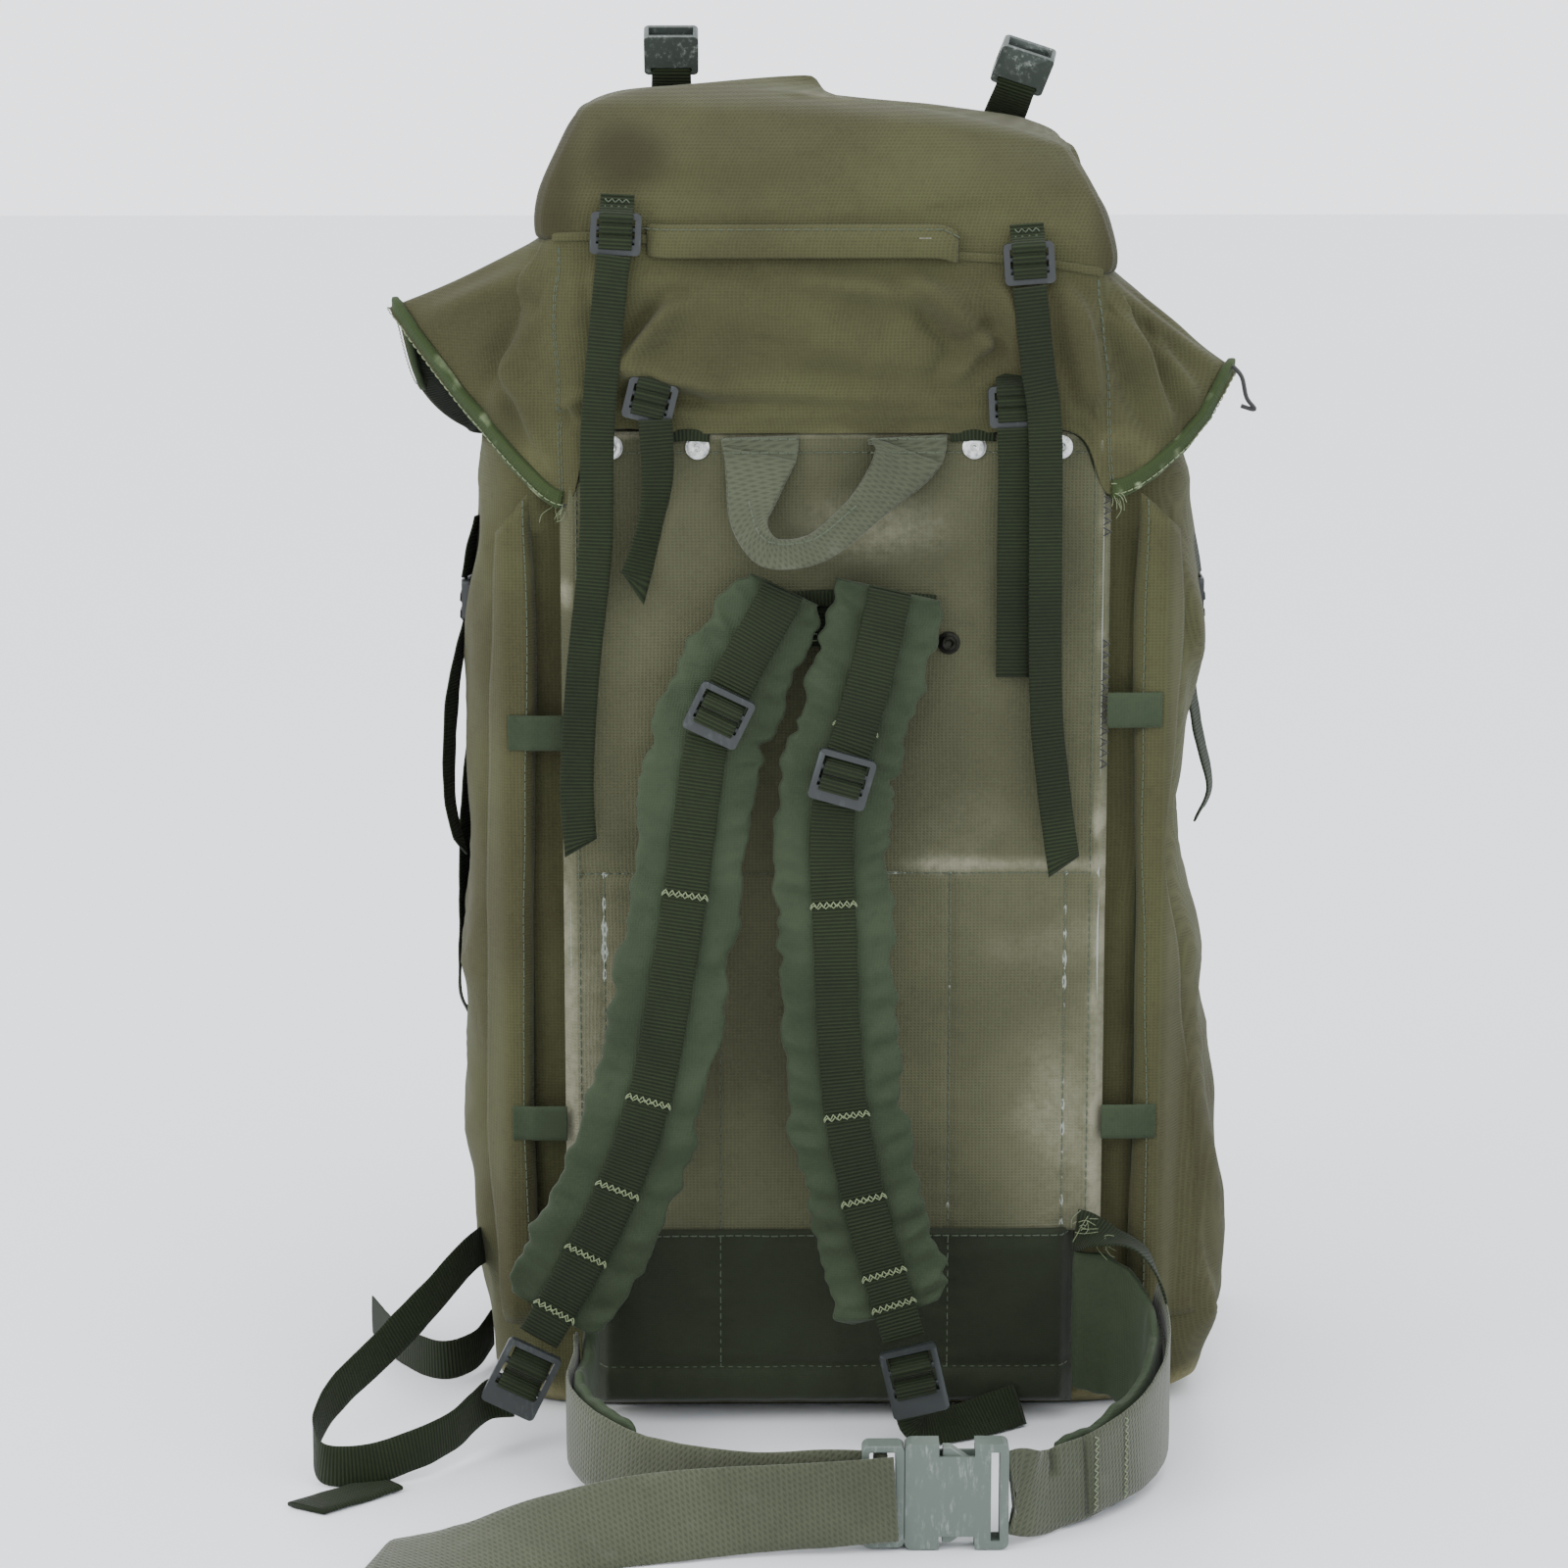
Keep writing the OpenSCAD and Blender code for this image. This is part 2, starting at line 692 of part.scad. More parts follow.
// Adjusting slide high up on each strap
module strap_slide(x, out, z, lean) {
    color(plastic) translate([x, panel_y - out - web_off - strap_t / 2 - lock_t / 2 - 1.2, up(z)])
        rotate([0, lean, 0]) ladder_lock(strap_w, 30);
}

module strap_slides_left() {
    strap_slide(-68, 26, 441, 26);
}

module strap_slides_right() {
    strap_slide(3, 30.5, 404, 16);
}

// Lower ladder-locks, where the pads meet the straps from the sack's corners
lower_left = [-185, panel_y - 53, up(48)];
lower_right = [46, panel_y - 53, up(46)];
left_lean = 26;
right_lean = -13;
lower_lock_l = 42;

module lower_lock(at, lean) {
    color(plastic) translate([at[0], at[1] - web_off, at[2]]) rotate([0, lean, 0])
        translate([0, 0, -1]) ladder_lock(strap_w, lower_lock_l);
}

module lower_lock_left() {
    lower_lock(lower_left, left_lean);
}

module lower_lock_right() {
    lower_lock(lower_right, right_lean);
}

module lower_strap_left() {
    edge_z = strap_w / 2 + 0.5;
    color(webbing) {
        sweep(standing(smooth([[-side_x - 1.6, back_y + 40, 95], [-side_x - 13, back_y + 15, 92],
                               [-side_x - 36, back_y - 15, 73], [-side_x - 62, back_y - 40, 52],
                               [-side_x - 86, back_y - 72, 36], [-side_x - 95, back_y - 100, 22],
                               [-side_x - 88, back_y - 124, edge_z + 1],
                               [-side_x - 62, back_y - 126, edge_z + 1],
                               [-side_x - 34, back_y - 113, 19], [-side_x - 15, back_y - 92, 22],
                               [-side_x - 5, back_y - 74, 26], [lower_left[0] - 20, lower_left[1] + 4, 30],
                               [lower_left[0] - 7, lower_left[1] + 3, 32]], 4), strap_w),
              flat_section(strap_t));
        sweep(smooth([[-side_x - 50, back_y - 124, 2, 0, 0, 1, strap_w],
                      [-side_x - 72, back_y - 144, 1.8, 0, 0, 1, strap_w],
                      [-side_x - 95, back_y - 164, 1.8, 0, 0, 1, strap_w]], 3),
              flat_section(2 * strap_t));
    }
}

module lower_strap_right() {
    color(webbing) sweep(smooth([
        [lower_right[0] + 2, lower_right[1] + 1, 22, 0, -1, 0.2, strap_w],
        [lower_right[0] + 8, lower_right[1] + 8, 12, 0.3, -0.8, 0.6, strap_w],
        [lower_right[0] + 32, lower_right[1] + 22, 9, 0.4, -0.5, 0.8, strap_w],
        [lower_right[0] + 66, lower_right[1] + 40, 13, 0.3, -0.9, 0.4, strap_w]], 4),
        flat_section(strap_t));
}

// ---------------------------------------------------------------- waist belt

// Stations of the hip pads: [x, out from the sack, low edge, high edge]
left_hip = [[-144, 24, 22, 96], [-146, 44, 20, 74], [-147, 66, 16, 62], [-150, 108, 8, 60],
            [-136, 144, 3, 57], [-116, 168, 1, 53]];
right_hip = [[142, 24, 22, 110], [168, 34, 16, 108], [184, 62, 10, 92], [184, 102, 4, 76],
             [168, 144, 2, 64], [142, 176, 1, 56], [120, 194, 1, 53]];
function hip_points(line) = [
    for (p = smooth(line, 3)) [p[0], back_y - p[1], (p[2] + p[3]) / 2, p[3] - p[2]]];
// The face turns outwards, square to the wing's run
function hip_route(line, turn) = [
    let (points = hip_points(line))
    for (i = [0 : len(points) - 1])
        let (a = points[max(i - 1, 0)], b = points[min(i + 1, len(points) - 1)],
             d = unit([b[0] - a[0], b[1] - a[1], 0]))
        [points[i][0], points[i][1], points[i][2], turn * d[1], -turn * d[0], 0, points[i][3]]];

module hip_pad(line, turn) {
    color(green) sweep(hip_route(line, turn), flat_section(hip_t));
}

module hip_pad_left() {
    hip_pad(left_hip, -1);
}

module hip_pad_right() {
    hip_pad(right_hip, 1);
}

buckle_x = 52;                 // middle of the closed buckle
buckle_y = back_y - 221;
buckle_h = belt_w + 12;
buckle_z = buckle_h / 2 + 0.5;
half_l = (socket_l + 24) / 2;
belt_off = hip_t / 2 + belt_t / 2 + 1;

// One band: sewn over the hip pad's outer face, then on to the buckle
module belt_band(line, turn, rest) {
    wing = hip_route(line, turn);
    sewn = [for (i = [4 : len(wing) - 1])
        [wing[i][0] - wing[i][3] * belt_off, wing[i][1] - wing[i][4] * belt_off,
         max(wing[i][2], belt_w / 2 + 1)]];
    color(belt_grey) sweep(standing(concat(sewn, smooth(rest, 4)), belt_w, turn), flat_section(belt_t));
}

module belt_webbing_left() {
    belt_band(left_hip, -1, [[-110, back_y - 181, belt_w / 2 + 1], [-85, back_y - 196, belt_w / 2 + 1],
                             [-46, back_y - 211, belt_w / 2 + 2], [-8, back_y - 219, buckle_z],
                             [buckle_x - half_l - 1, buckle_y, buckle_z]]);
}

module belt_webbing_right() {
    belt_band(right_hip, 1, [[116, back_y - 206, belt_w / 2 + 1], [107, back_y - 214, belt_w / 2 + 3],
                             [98, back_y - 219, buckle_z],
                             [buckle_x + half_l + 3, buckle_y, buckle_z]]);
}

// Dark strap that comes down over the right hip pad
module hip_strap() {
    out = hip_t / 2 + 3.5;
    color(webbing) sweep(smooth([
        [lumbar_w / 2 + 6, back_y - 24, 122, -0.3, -1, 0.2, tail_w + 5],
        [lumbar_w / 2 + 22, back_y - 34, 121, 0, -0.3, 1, tail_w + 5],
        [lumbar_w / 2 + 44, back_y - 48, 116, 0.8, 0, 1, tail_w + 5],
        [lumbar_w / 2 + 48 + out, back_y - 56, 92, 1, 0, 0.1, tail_w + 5],
        [lumbar_w / 2 + 48 + out, back_y - 60, 66, 1, 0, 0, tail_w + 5]], 4),
        flat_section(strap_t));
}

// The loose end turns from standing on its edge to lying on the ground
module belt_tail() {
    color(belt_grey) sweep(smooth([
        [buckle_x - half_l + 14, buckle_y - buckle_t / 2 - 3, buckle_z, 0, -1, 0, belt_w],
        [buckle_x - half_l - 14, buckle_y - buckle_t / 2 - 5, buckle_z - 2, 0, -1, 0.02, belt_w],
        [-55, buckle_y - 14, 27, 0, -1, 0.1, belt_w],
        [-110, buckle_y - 17, 23, 0, -1, 0.5, belt_w],
        [-165, buckle_y - 19, 15, 0, -0.75, 1, belt_w],
        [-212, buckle_y - 20, 6, 0, -0.25, 1, belt_w],
        [-260, buckle_y - 20, belt_t / 2 + 0.2, 0, 0, 1, belt_w]], 5), flat_section(belt_t));
}

// Side-release buckle along X. The plug comes in from -X.
socket_x = buckle_x + half_l - socket_l;
shell_t = 2.2;
mouth_l = socket_l - 14;       // depth of the socket's hollow
mouth_h = buckle_h - 12;
mouth_t = buckle_t - 2 * shell_t;
window_x = socket_x + 19;
window_l = 20;
arm_t = mouth_t - 2 * run_gap - 0.6;

module buckle_socket() {
    color(buckle_grey) translate([0, buckle_y, buckle_z]) difference() {
        translate([socket_x + socket_l / 2, 0, 0]) rotate([90, 0, 0])
            translate([0, 0, -buckle_t / 2]) linear_extrude(buckle_t)
                rounded_rect(socket_l, buckle_h, 4);
        block([socket_x - 1, -mouth_t / 2, -mouth_h / 2],
              [socket_x + mouth_l, mouth_t / 2, mouth_h / 2]);
        for (s = [-1, 1])
            translate([window_x + window_l / 2, 0, s * buckle_h / 2])
                cube([window_l, buckle_t + 1, 15], center = true);
        block([socket_x + socket_l - 10, -buckle_t, -belt_w / 2 - 1],
              [socket_x + socket_l - 5, buckle_t, belt_w / 2 + 1]);
    }
}

// Frame with a bar for the webbing and a middle tongue into the socket
plug_x = buckle_x - half_l;
plug_l = socket_x - run_gap - plug_x;
prong_pivot_x = socket_x + 2.5;
prong_z = 16;

module buckle_plug() {
    color(buckle_grey) translate([0, buckle_y, buckle_z]) {
        difference() {
            translate([plug_x + plug_l / 2, 0, 0]) rotate([90, 0, 0])
                translate([0, 0, -buckle_t / 2]) linear_extrude(buckle_t)
                    rounded_rect(plug_l, buckle_h - 2, 4);
            block([plug_x + 4, -buckle_t, -belt_w / 2 - 1],
                  [plug_x + plug_l - 5, buckle_t, belt_w / 2 + 1]);
        }
        translate([plug_x + plug_l / 2, 0, -belt_w / 2 - 1]) cylinder(r = 2.4, h = belt_w + 2);
        block([plug_x + plug_l - 2, -arm_t / 2, -3], [socket_x + mouth_l - 3, arm_t / 2, 3]);
    }
}

// One sprung arm: it pivots beside the plug's root and its head fills the window
module prong(s) {
    head_l = window_l - 4;
    head_top = buckle_h / 2 - 3;
    color(buckle_grey) translate([0, buckle_y, buckle_z]) mirror([0, 0, s < 0 ? 1 : 0])
        translate([0, arm_t / 2, 0]) rotate([90, 0, 0]) linear_extrude(arm_t)
            polygon([[socket_x + run_gap, prong_z - 3], [window_x + window_l + 1, prong_z - 3],
                     [window_x + window_l - 2, prong_z + 4], [window_x + head_l * 0.4, head_top],
                     [window_x + 2, head_top], [window_x + 2, prong_z + 2],
                     [socket_x + run_gap, prong_z + 2]]);
}

module prong_top() {
    prong(1);
}

module prong_bottom() {
    prong(-1);
}

// ---------------------------------------------------------------- lid

seam_x = side_x - 46;          // half width of the lid's seam
seam_front = front_y - 5;
hood_front = front_y + hood_gap + hood_t;

module slab(x, y_low, y_high, z, t = 0.1) {
    translate([-x, y_low, z]) cube([2 * x, y_high - y_low, t]);
}

// Closed shape of the hood, drawn in by `in` for its hollow
module hood_form(in) {
    hull() {
        slab(side_x + 6 - in, hinge_y + in, hood_front - in, hinge_z);
        slab(side_x + wing_out - in, hinge_y + 30 + in, hood_front - 20 - in, wing_z);
        slab(seam_x - in, hinge_y + in, seam_front - in, seam_z - 0.1);
    }
}

module lid_hood() {
    color(canvas) {
        difference() {
            hood_form(0);
            hood_form(hood_t);
            slab(seam_x - hood_t, hinge_y + hood_t, seam_front - hood_t, seam_z - 4, 8);
            slab(side_x + 4, hinge_y + hood_t, hood_front - hood_t, hinge_z - 1, 4);
        }
        block([-side_x - 4, hood_front - hood_t, hinge_z - hood_drop],
              [side_x + 4, hood_front, hinge_z + 0.5]);
    }
}

// Domed pocket with its floor on the hood's seam. Its +X side hangs lower.
module pocket_form(in) {
    crown = (seam_x - 34) / 2;
    hull() {
        slab(seam_x - in, hinge_y + in, seam_front - in, seam_z + in);
        slab(seam_x - 7 - in, hinge_y + 14 + in, seam_front - 6 - in, seam_z + pocket_h * 0.45);
        translate([-crown, 0, 0])
            slab(crown - in, hinge_y + 60 + in, seam_front - 36 - in, lid_top - in - 0.1);
        translate([crown, 0, 0])
            slab(crown - in, hinge_y + 60 + in, seam_front - 36 - in, lid_top - lid_sag - in - 0.1);
    }
}

module lid_pocket() {
    color(canvas) difference() {
        pocket_form(0);
        pocket_form(hood_t);
    }
}

lid_zip_y = hinge_y - 0.4;
lid_zip_low = -98;
lid_zip_high = 62;
lid_zip_z = seam_z - 2;

module lid_zip() {
    color("#2b3120") translate([0, lid_zip_y, lid_zip_z]) {
        block([lid_zip_low, -tape_t, -7], [lid_zip_high, 0, 7]);
        block([lid_zip_low, -tape_t - bead_t, -bead_w / 2], [lid_zip_high, -tape_t, bead_w / 2]);
    }
}

module lid_zip_slider() {
    color("silver") translate([lid_zip_high - 4, lid_zip_y - tape_t, lid_zip_z])
        rotate([0, 90, 0]) zip_slider_body(slider_w, slider_l, 0);
}

// Bound edges of the wings, from the hinge line out to each tip
module lid_binding() {
    color("#55683f") for (s = [-1, 1])
        sweep(smooth([[s * (side_x + 9), hinge_y + 3, hinge_z + 3.5, s * 0.6, -1, 0, 10],
                      [s * (side_x + 27), hinge_y + 12.5, hinge_z + 20, s * 0.6, -1, 0, 10],
                      [s * (side_x + wing_out + 2), hinge_y + 24, wing_z, s * 0.6, -1, 0, 10]], 4),
              flat_section(2));
}

// Ladder-locks on the lid's seam and low on the hood, on their sewn tabs
lid_lock_y = hinge_y - 4 - lock_t / 2;
seam_lock = [[-126, seam_z + 3, 3], [110, seam_z - 14, -4]];
low_lock = [[-107, hinge_z + 17, 14], [102, hinge_z + 14, -3]];

module lid_locks() {
    color(plastic) for (p = concat(seam_lock, low_lock))
        translate([p[0], lid_lock_y, p[1]]) rotate([0, p[2], 0]) ladder_lock(tail_w, 24);
}

// Straps that hang from those ladder-locks, in front of the back panel
module tail(points) {
    color(webbing) sweep(smooth([for (p = points) [p[0], panel_y - p[1], p[2], p[3], -1, 0, tail_w]], 4),
                         flat_section(strap_t));
}

module lid_tails() {
    tail([[-127, 14.8, seam_z - 9, 0], [-130, 15.5, seam_z - 34, 0], [-137, 15.5, up(605), 0],
          [-139, 13, up(534), 0.1], [-147, 13, up(460), 0.1], [-152, 13, up(396), 0],
          [-149, 13, up(357), 0]]);
    tail([[110, 14.8, seam_z - 27, 0], [115, 17, up(640), 0], [120, 17.5, up(595), 0],
          [122, 13, up(453), 0.1], [127, 13, up(395), 0], [134, 13, up(345), 0]]);
    tail([[-104, 14.8, hinge_z + 5, 0], [-103, 13, up(575), 0.4], [-108, 12, up(545), 0.9],
          [-118, 13, up(511), 0.3]]);
    tail([[102, 14.8, hinge_z + 2, 0], [103, 10, up(575), 0], [103, 8, up(500), 0], [103, 8, up(457), 0]]);
}

// Webbing tabs on the lid and the buckle sockets on them
socket_at = [[-96.5, 68, 0, 4], [112, 60, 18, 10 - lid_sag]];
socket_tilt = 38;              // the mouths lean towards the harness side

module on_lid(p) {
    translate([p[0], p[1], lid_top + p[3]]) rotate([socket_tilt, p[2], 0]) children();
}

module lid_tabs() {
    color(webbing) for (p = socket_at)
        on_lid(p) block([-strap_w / 2, -4.6, -2], [strap_w / 2, -2.8, 11]);
}

module lid_sockets() {
    color("#8d968f") for (p = socket_at)
        on_lid(p) translate([0, 3, 6]) small_socket(strap_w);
}

// ---------------------------------------------------------------- all nodes

base_patch();
main_sack();
snow_collar();
collar_drawcord();
cord_lock_barrel();
cord_lock_plunger();
cord_lock_spring();
back_panel();
frame_sheet();
frame_stays();
back_foam();
frame_rivets();
lumbar_pad();
panel_snap();
strap_yoke();
hood_gussets();
side_zips();
side_slider_left();
side_slider_right();
side_flaps();
edge_loops();
front_pouch();
pouch_flap();
pouch_snap_caps();
pouch_snap_studs();
front_straps();
front_strap_tips();
side_straps();
side_locks();
haul_handle();
shoulder_pad_left();
shoulder_pad_right();
shoulder_webbing_left();
shoulder_webbing_right();
strap_slides_left();
strap_slides_right();
lower_lock_left();
lower_lock_right();
lower_strap_left();
lower_strap_right();
hip_pad_left();
hip_pad_right();
belt_webbing_left();
belt_webbing_right();
hip_strap();
belt_tail();
buckle_plug();
buckle_socket();
prong_top();
prong_bottom();
lid_hood();
lid_pocket();
lid_zip();
lid_zip_slider();
lid_binding();
lid_locks();
lid_tails();
lid_tabs();
lid_sockets();
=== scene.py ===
"""Framed canvas rucksack: the cloth, webbing, stitching and finishes round its packed frame."""

import math

import bmesh
import bpy
from bpy.props import FloatProperty, FloatVectorProperty, PointerProperty
from bpy.types import Operator, Panel, PropertyGroup
from mathutils import Matrix, Vector, noise


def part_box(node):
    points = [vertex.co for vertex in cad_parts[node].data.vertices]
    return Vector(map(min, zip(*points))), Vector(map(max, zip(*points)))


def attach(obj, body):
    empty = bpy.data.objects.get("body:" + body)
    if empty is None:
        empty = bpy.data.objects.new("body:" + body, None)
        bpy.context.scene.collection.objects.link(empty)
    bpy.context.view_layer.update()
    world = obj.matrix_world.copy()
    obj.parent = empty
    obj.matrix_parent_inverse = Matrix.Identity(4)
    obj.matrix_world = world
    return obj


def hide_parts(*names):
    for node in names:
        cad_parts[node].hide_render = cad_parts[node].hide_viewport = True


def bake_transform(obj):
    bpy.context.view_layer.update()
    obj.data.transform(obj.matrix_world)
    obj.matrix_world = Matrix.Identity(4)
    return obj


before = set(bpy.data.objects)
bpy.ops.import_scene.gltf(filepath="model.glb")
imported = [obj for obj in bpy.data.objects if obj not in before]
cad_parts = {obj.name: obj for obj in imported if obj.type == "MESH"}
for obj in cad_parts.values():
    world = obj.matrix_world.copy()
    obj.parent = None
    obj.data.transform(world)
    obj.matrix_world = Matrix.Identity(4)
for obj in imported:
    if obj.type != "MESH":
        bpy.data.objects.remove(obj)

bl_info = {
    "name": "Framed Rucksack",
    "version": (1, 0, 0),
    "blender": (4, 5, 0),
    "location": "View3D > Sidebar > Rucksack",
    "description": "Builds a canvas rucksack with its harness, belt and lid round a packed frame",
    "category": "Object",
}

MM = 0.001
UP = Vector((0, 0, 1))
BACK = Vector((0, -1, 0))


def linear(code):
    """Linear colour of an sRGB hex value."""
    shares = [int(code[i:i + 2], 16) / 255 for i in (1, 3, 5)]
    return tuple(c / 12.92 if c <= 0.04045 else ((c + 0.055) / 1.055) ** 2.4 for c in shares)


def face_of(node_name, axis, high):
    """One side of a frame node's box, in millimetres."""
    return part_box(node_name)[1 if high else 0][axis] / MM


# The frame's own sizes, in millimetres
PANEL_LEFT = face_of("back_panel", 0, False)
PANEL_RIGHT = face_of("back_panel", 0, True)
PANEL_FACE = face_of("back_panel", 1, False)
PANEL_LOW = face_of("back_panel", 2, False)
PANEL_TOP = face_of("back_panel", 2, True)
SACK_BACK = face_of("main_sack", 1, False)
SACK_FRONT = face_of("main_sack", 1, True)
SACK_TOP = face_of("main_sack", 2, True)


# ------------------------------------------------------------ user's sizes and colours


class RucksackSizes(PropertyGroup):
    """Sizes that a user would change."""
    canvas: FloatProperty(
        name="Canvas", description="Thickness of the sack's and the lid's canvas",
        default=1.4 * MM, min=0.5 * MM, max=3 * MM, unit="LENGTH")
    webbing: FloatProperty(
        name="Webbing", description="Thickness of the 20 and 25 mm webbing",
        default=1.6 * MM, min=0.8 * MM, max=3 * MM, unit="LENGTH")
    belt: FloatProperty(
        name="Belt webbing", description="Thickness of the 50 mm webbing",
        default=2.2 * MM, min=1 * MM, max=4 * MM, unit="LENGTH")
    thread: FloatProperty(
        name="Thread", description="Radius of the sewing thread, drawn thick enough to show",
        default=0.38 * MM, min=0.2 * MM, max=1 * MM, unit="LENGTH")
    fold: FloatProperty(
        name="Fold depth", description="How deep the sack's canvas folds are",
        default=4 * MM, min=0, max=10 * MM, unit="LENGTH")
    pucker: FloatProperty(
        name="Pucker", description="Depth of the gathers along the padded straps' edges",
        default=2.3 * MM, min=0, max=4 * MM, unit="LENGTH")
    floor: FloatProperty(
        name="Floor", description="Width of the floor", default=16, min=4, max=40, unit="LENGTH")
    lens: FloatProperty(
        name="Lens", description="Focal length of the camera in millimetres",
        default=105.8, min=35, max=200)


def colour(label, what, code):
    """A colour property with its default from an sRGB hex value."""
    return FloatVectorProperty(name=label, description=what, subtype="COLOR", size=3,
                               min=0, max=1, default=linear(code))


class RucksackColours(PropertyGroup):
    """The colours of the cloth, the plastic and the floor."""
    canvas: colour("Canvas", "Proofed cotton canvas of the sack and the lid", "#42432C")
    # canvas_deep also colours the painted shade that the grime_and_shade attribute lays on the sack and the
    # hood
    canvas_deep: colour("Canvas, deep", "The canvas where it is dirty or has kept its dye", "#302D1D")
    panel: colour("Back panel", "Faded canvas of the back panel", "#4F503C")
    panel_worn: colour("Back panel, worn", "The back panel where it is scuffed pale", "#7A7966")
    pad: colour("Pads", "Nylon cloth of the shoulder and hip pads", "#2F3927")
    lumbar: colour("Lumbar pad", "Nylon cloth of the lumbar pad", "#1F2516")
    webbing: colour("Webbing", "Nylon webbing of the shoulder and lid straps", "#222B17")
    belt: colour("Belt", "Twill webbing of the waist belt and the haul handle", "#454939")
    binding: colour("Binding", "Tape that binds the hood's edges", "#303B20")
    thread: colour("Thread", "Pale green sewing thread", "#687450")
    acetal: colour("Dark plastic", "Moulded acetal of the ladder-locks", "#1B1F1F")
    buckle: colour("Buckle", "Scuffed moulded acetal of the belt's buckle", "#4D5750")
    floor: colour("Floor", "Pale floor", "#E4E6E8")


# ------------------------------------------------------------ materials


def add(tree, kind, inputs=None, out=0, **settings):
    """Adds one shader node, with its settings and with values or links for its inputs. Gives back
    the output that is asked for."""
    made = tree.nodes.new(kind)
    for key, value in settings.items():
        setattr(made, key, value)
    for key, value in (inputs or {}).items():
        if isinstance(value, bpy.types.NodeSocket):
            tree.links.new(value, made.inputs[key])
        else:
            made.inputs[key].default_value = value
    return made.outputs[out]


def rgba(value, gain=1.0):
    """Four numbers for a colour socket, from a linear colour or an sRGB hex value."""
    value = linear(value) if isinstance(value, str) else value
    return (value[0] * gain, value[1] * gain, value[2] * gain, 1)


def begin(name, roughness, **constants):
    """A material with only its shader and output, and the shader's constant values set."""
    made = bpy.data.materials.new(name)
    made.use_nodes = True
    shader = made.node_tree.nodes["Principled BSDF"]
    shader.inputs["Roughness"].default_value = roughness
    for key, value in constants.items():
        shader.inputs[key.replace("_", " ")].default_value = value
    return made, made.node_tree, shader


def finish(tree, shader, shade, height, strength, depth_mm):
    """Joins a colour and a relief of depth_mm to the shader."""
    tree.links.new(shade, shader.inputs["Base Color"])
    relief = add(tree, "ShaderNodeBump",
                 {"Strength": strength, "Distance": depth_mm * MM, "Height": height})
    tree.links.new(relief, shader.inputs["Normal"])


def layered(tree, shade, layers):
    """Lays colours over a base. Each layer says what it follows, the values where it starts and
    is full, how strong it is then, its colour, and how it grows between."""
    for value, low, high, most, tone, growth in layers:
        share = add(tree, "ShaderNodeMapRange",
                    {"Value": value, "From Min": low, "From Max": high, "To Max": most},
                    interpolation_type=growth)
        shade = add(tree, "ShaderNodeMix", {0: share, 6: shade, 7: tone}, out=2, data_type="RGBA")
    return shade


def speckle(tree, where, size_mm, detail=3.0, rough=0.55, stretch=(1, 1, 1)):
    """Noise with patches about size_mm across."""
    where = add(tree, "ShaderNodeMapping", {"Vector": where, "Scale": stretch})
    return add(tree, "ShaderNodeTexNoise",
               {"Vector": where, "Scale": 1000 / size_mm, "Detail": detail, "Roughness": rough})


def ribs(tree, where, axis, pitch_mm):
    """A wave from 0 to 1 across one axis, one rib every pitch_mm."""
    part = add(tree, "ShaderNodeSeparateXYZ", {0: where}, out=axis)
    turn = add(tree, "ShaderNodeMath", {0: part, 1: 2 * math.pi / (pitch_mm * MM)},
               operation="MULTIPLY")
    wave = add(tree, "ShaderNodeMath", {0: turn}, operation="SINE")
    return add(tree, "ShaderNodeMath", {0: wave, 1: 0.5, 2: 0.5}, operation="MULTIPLY_ADD")


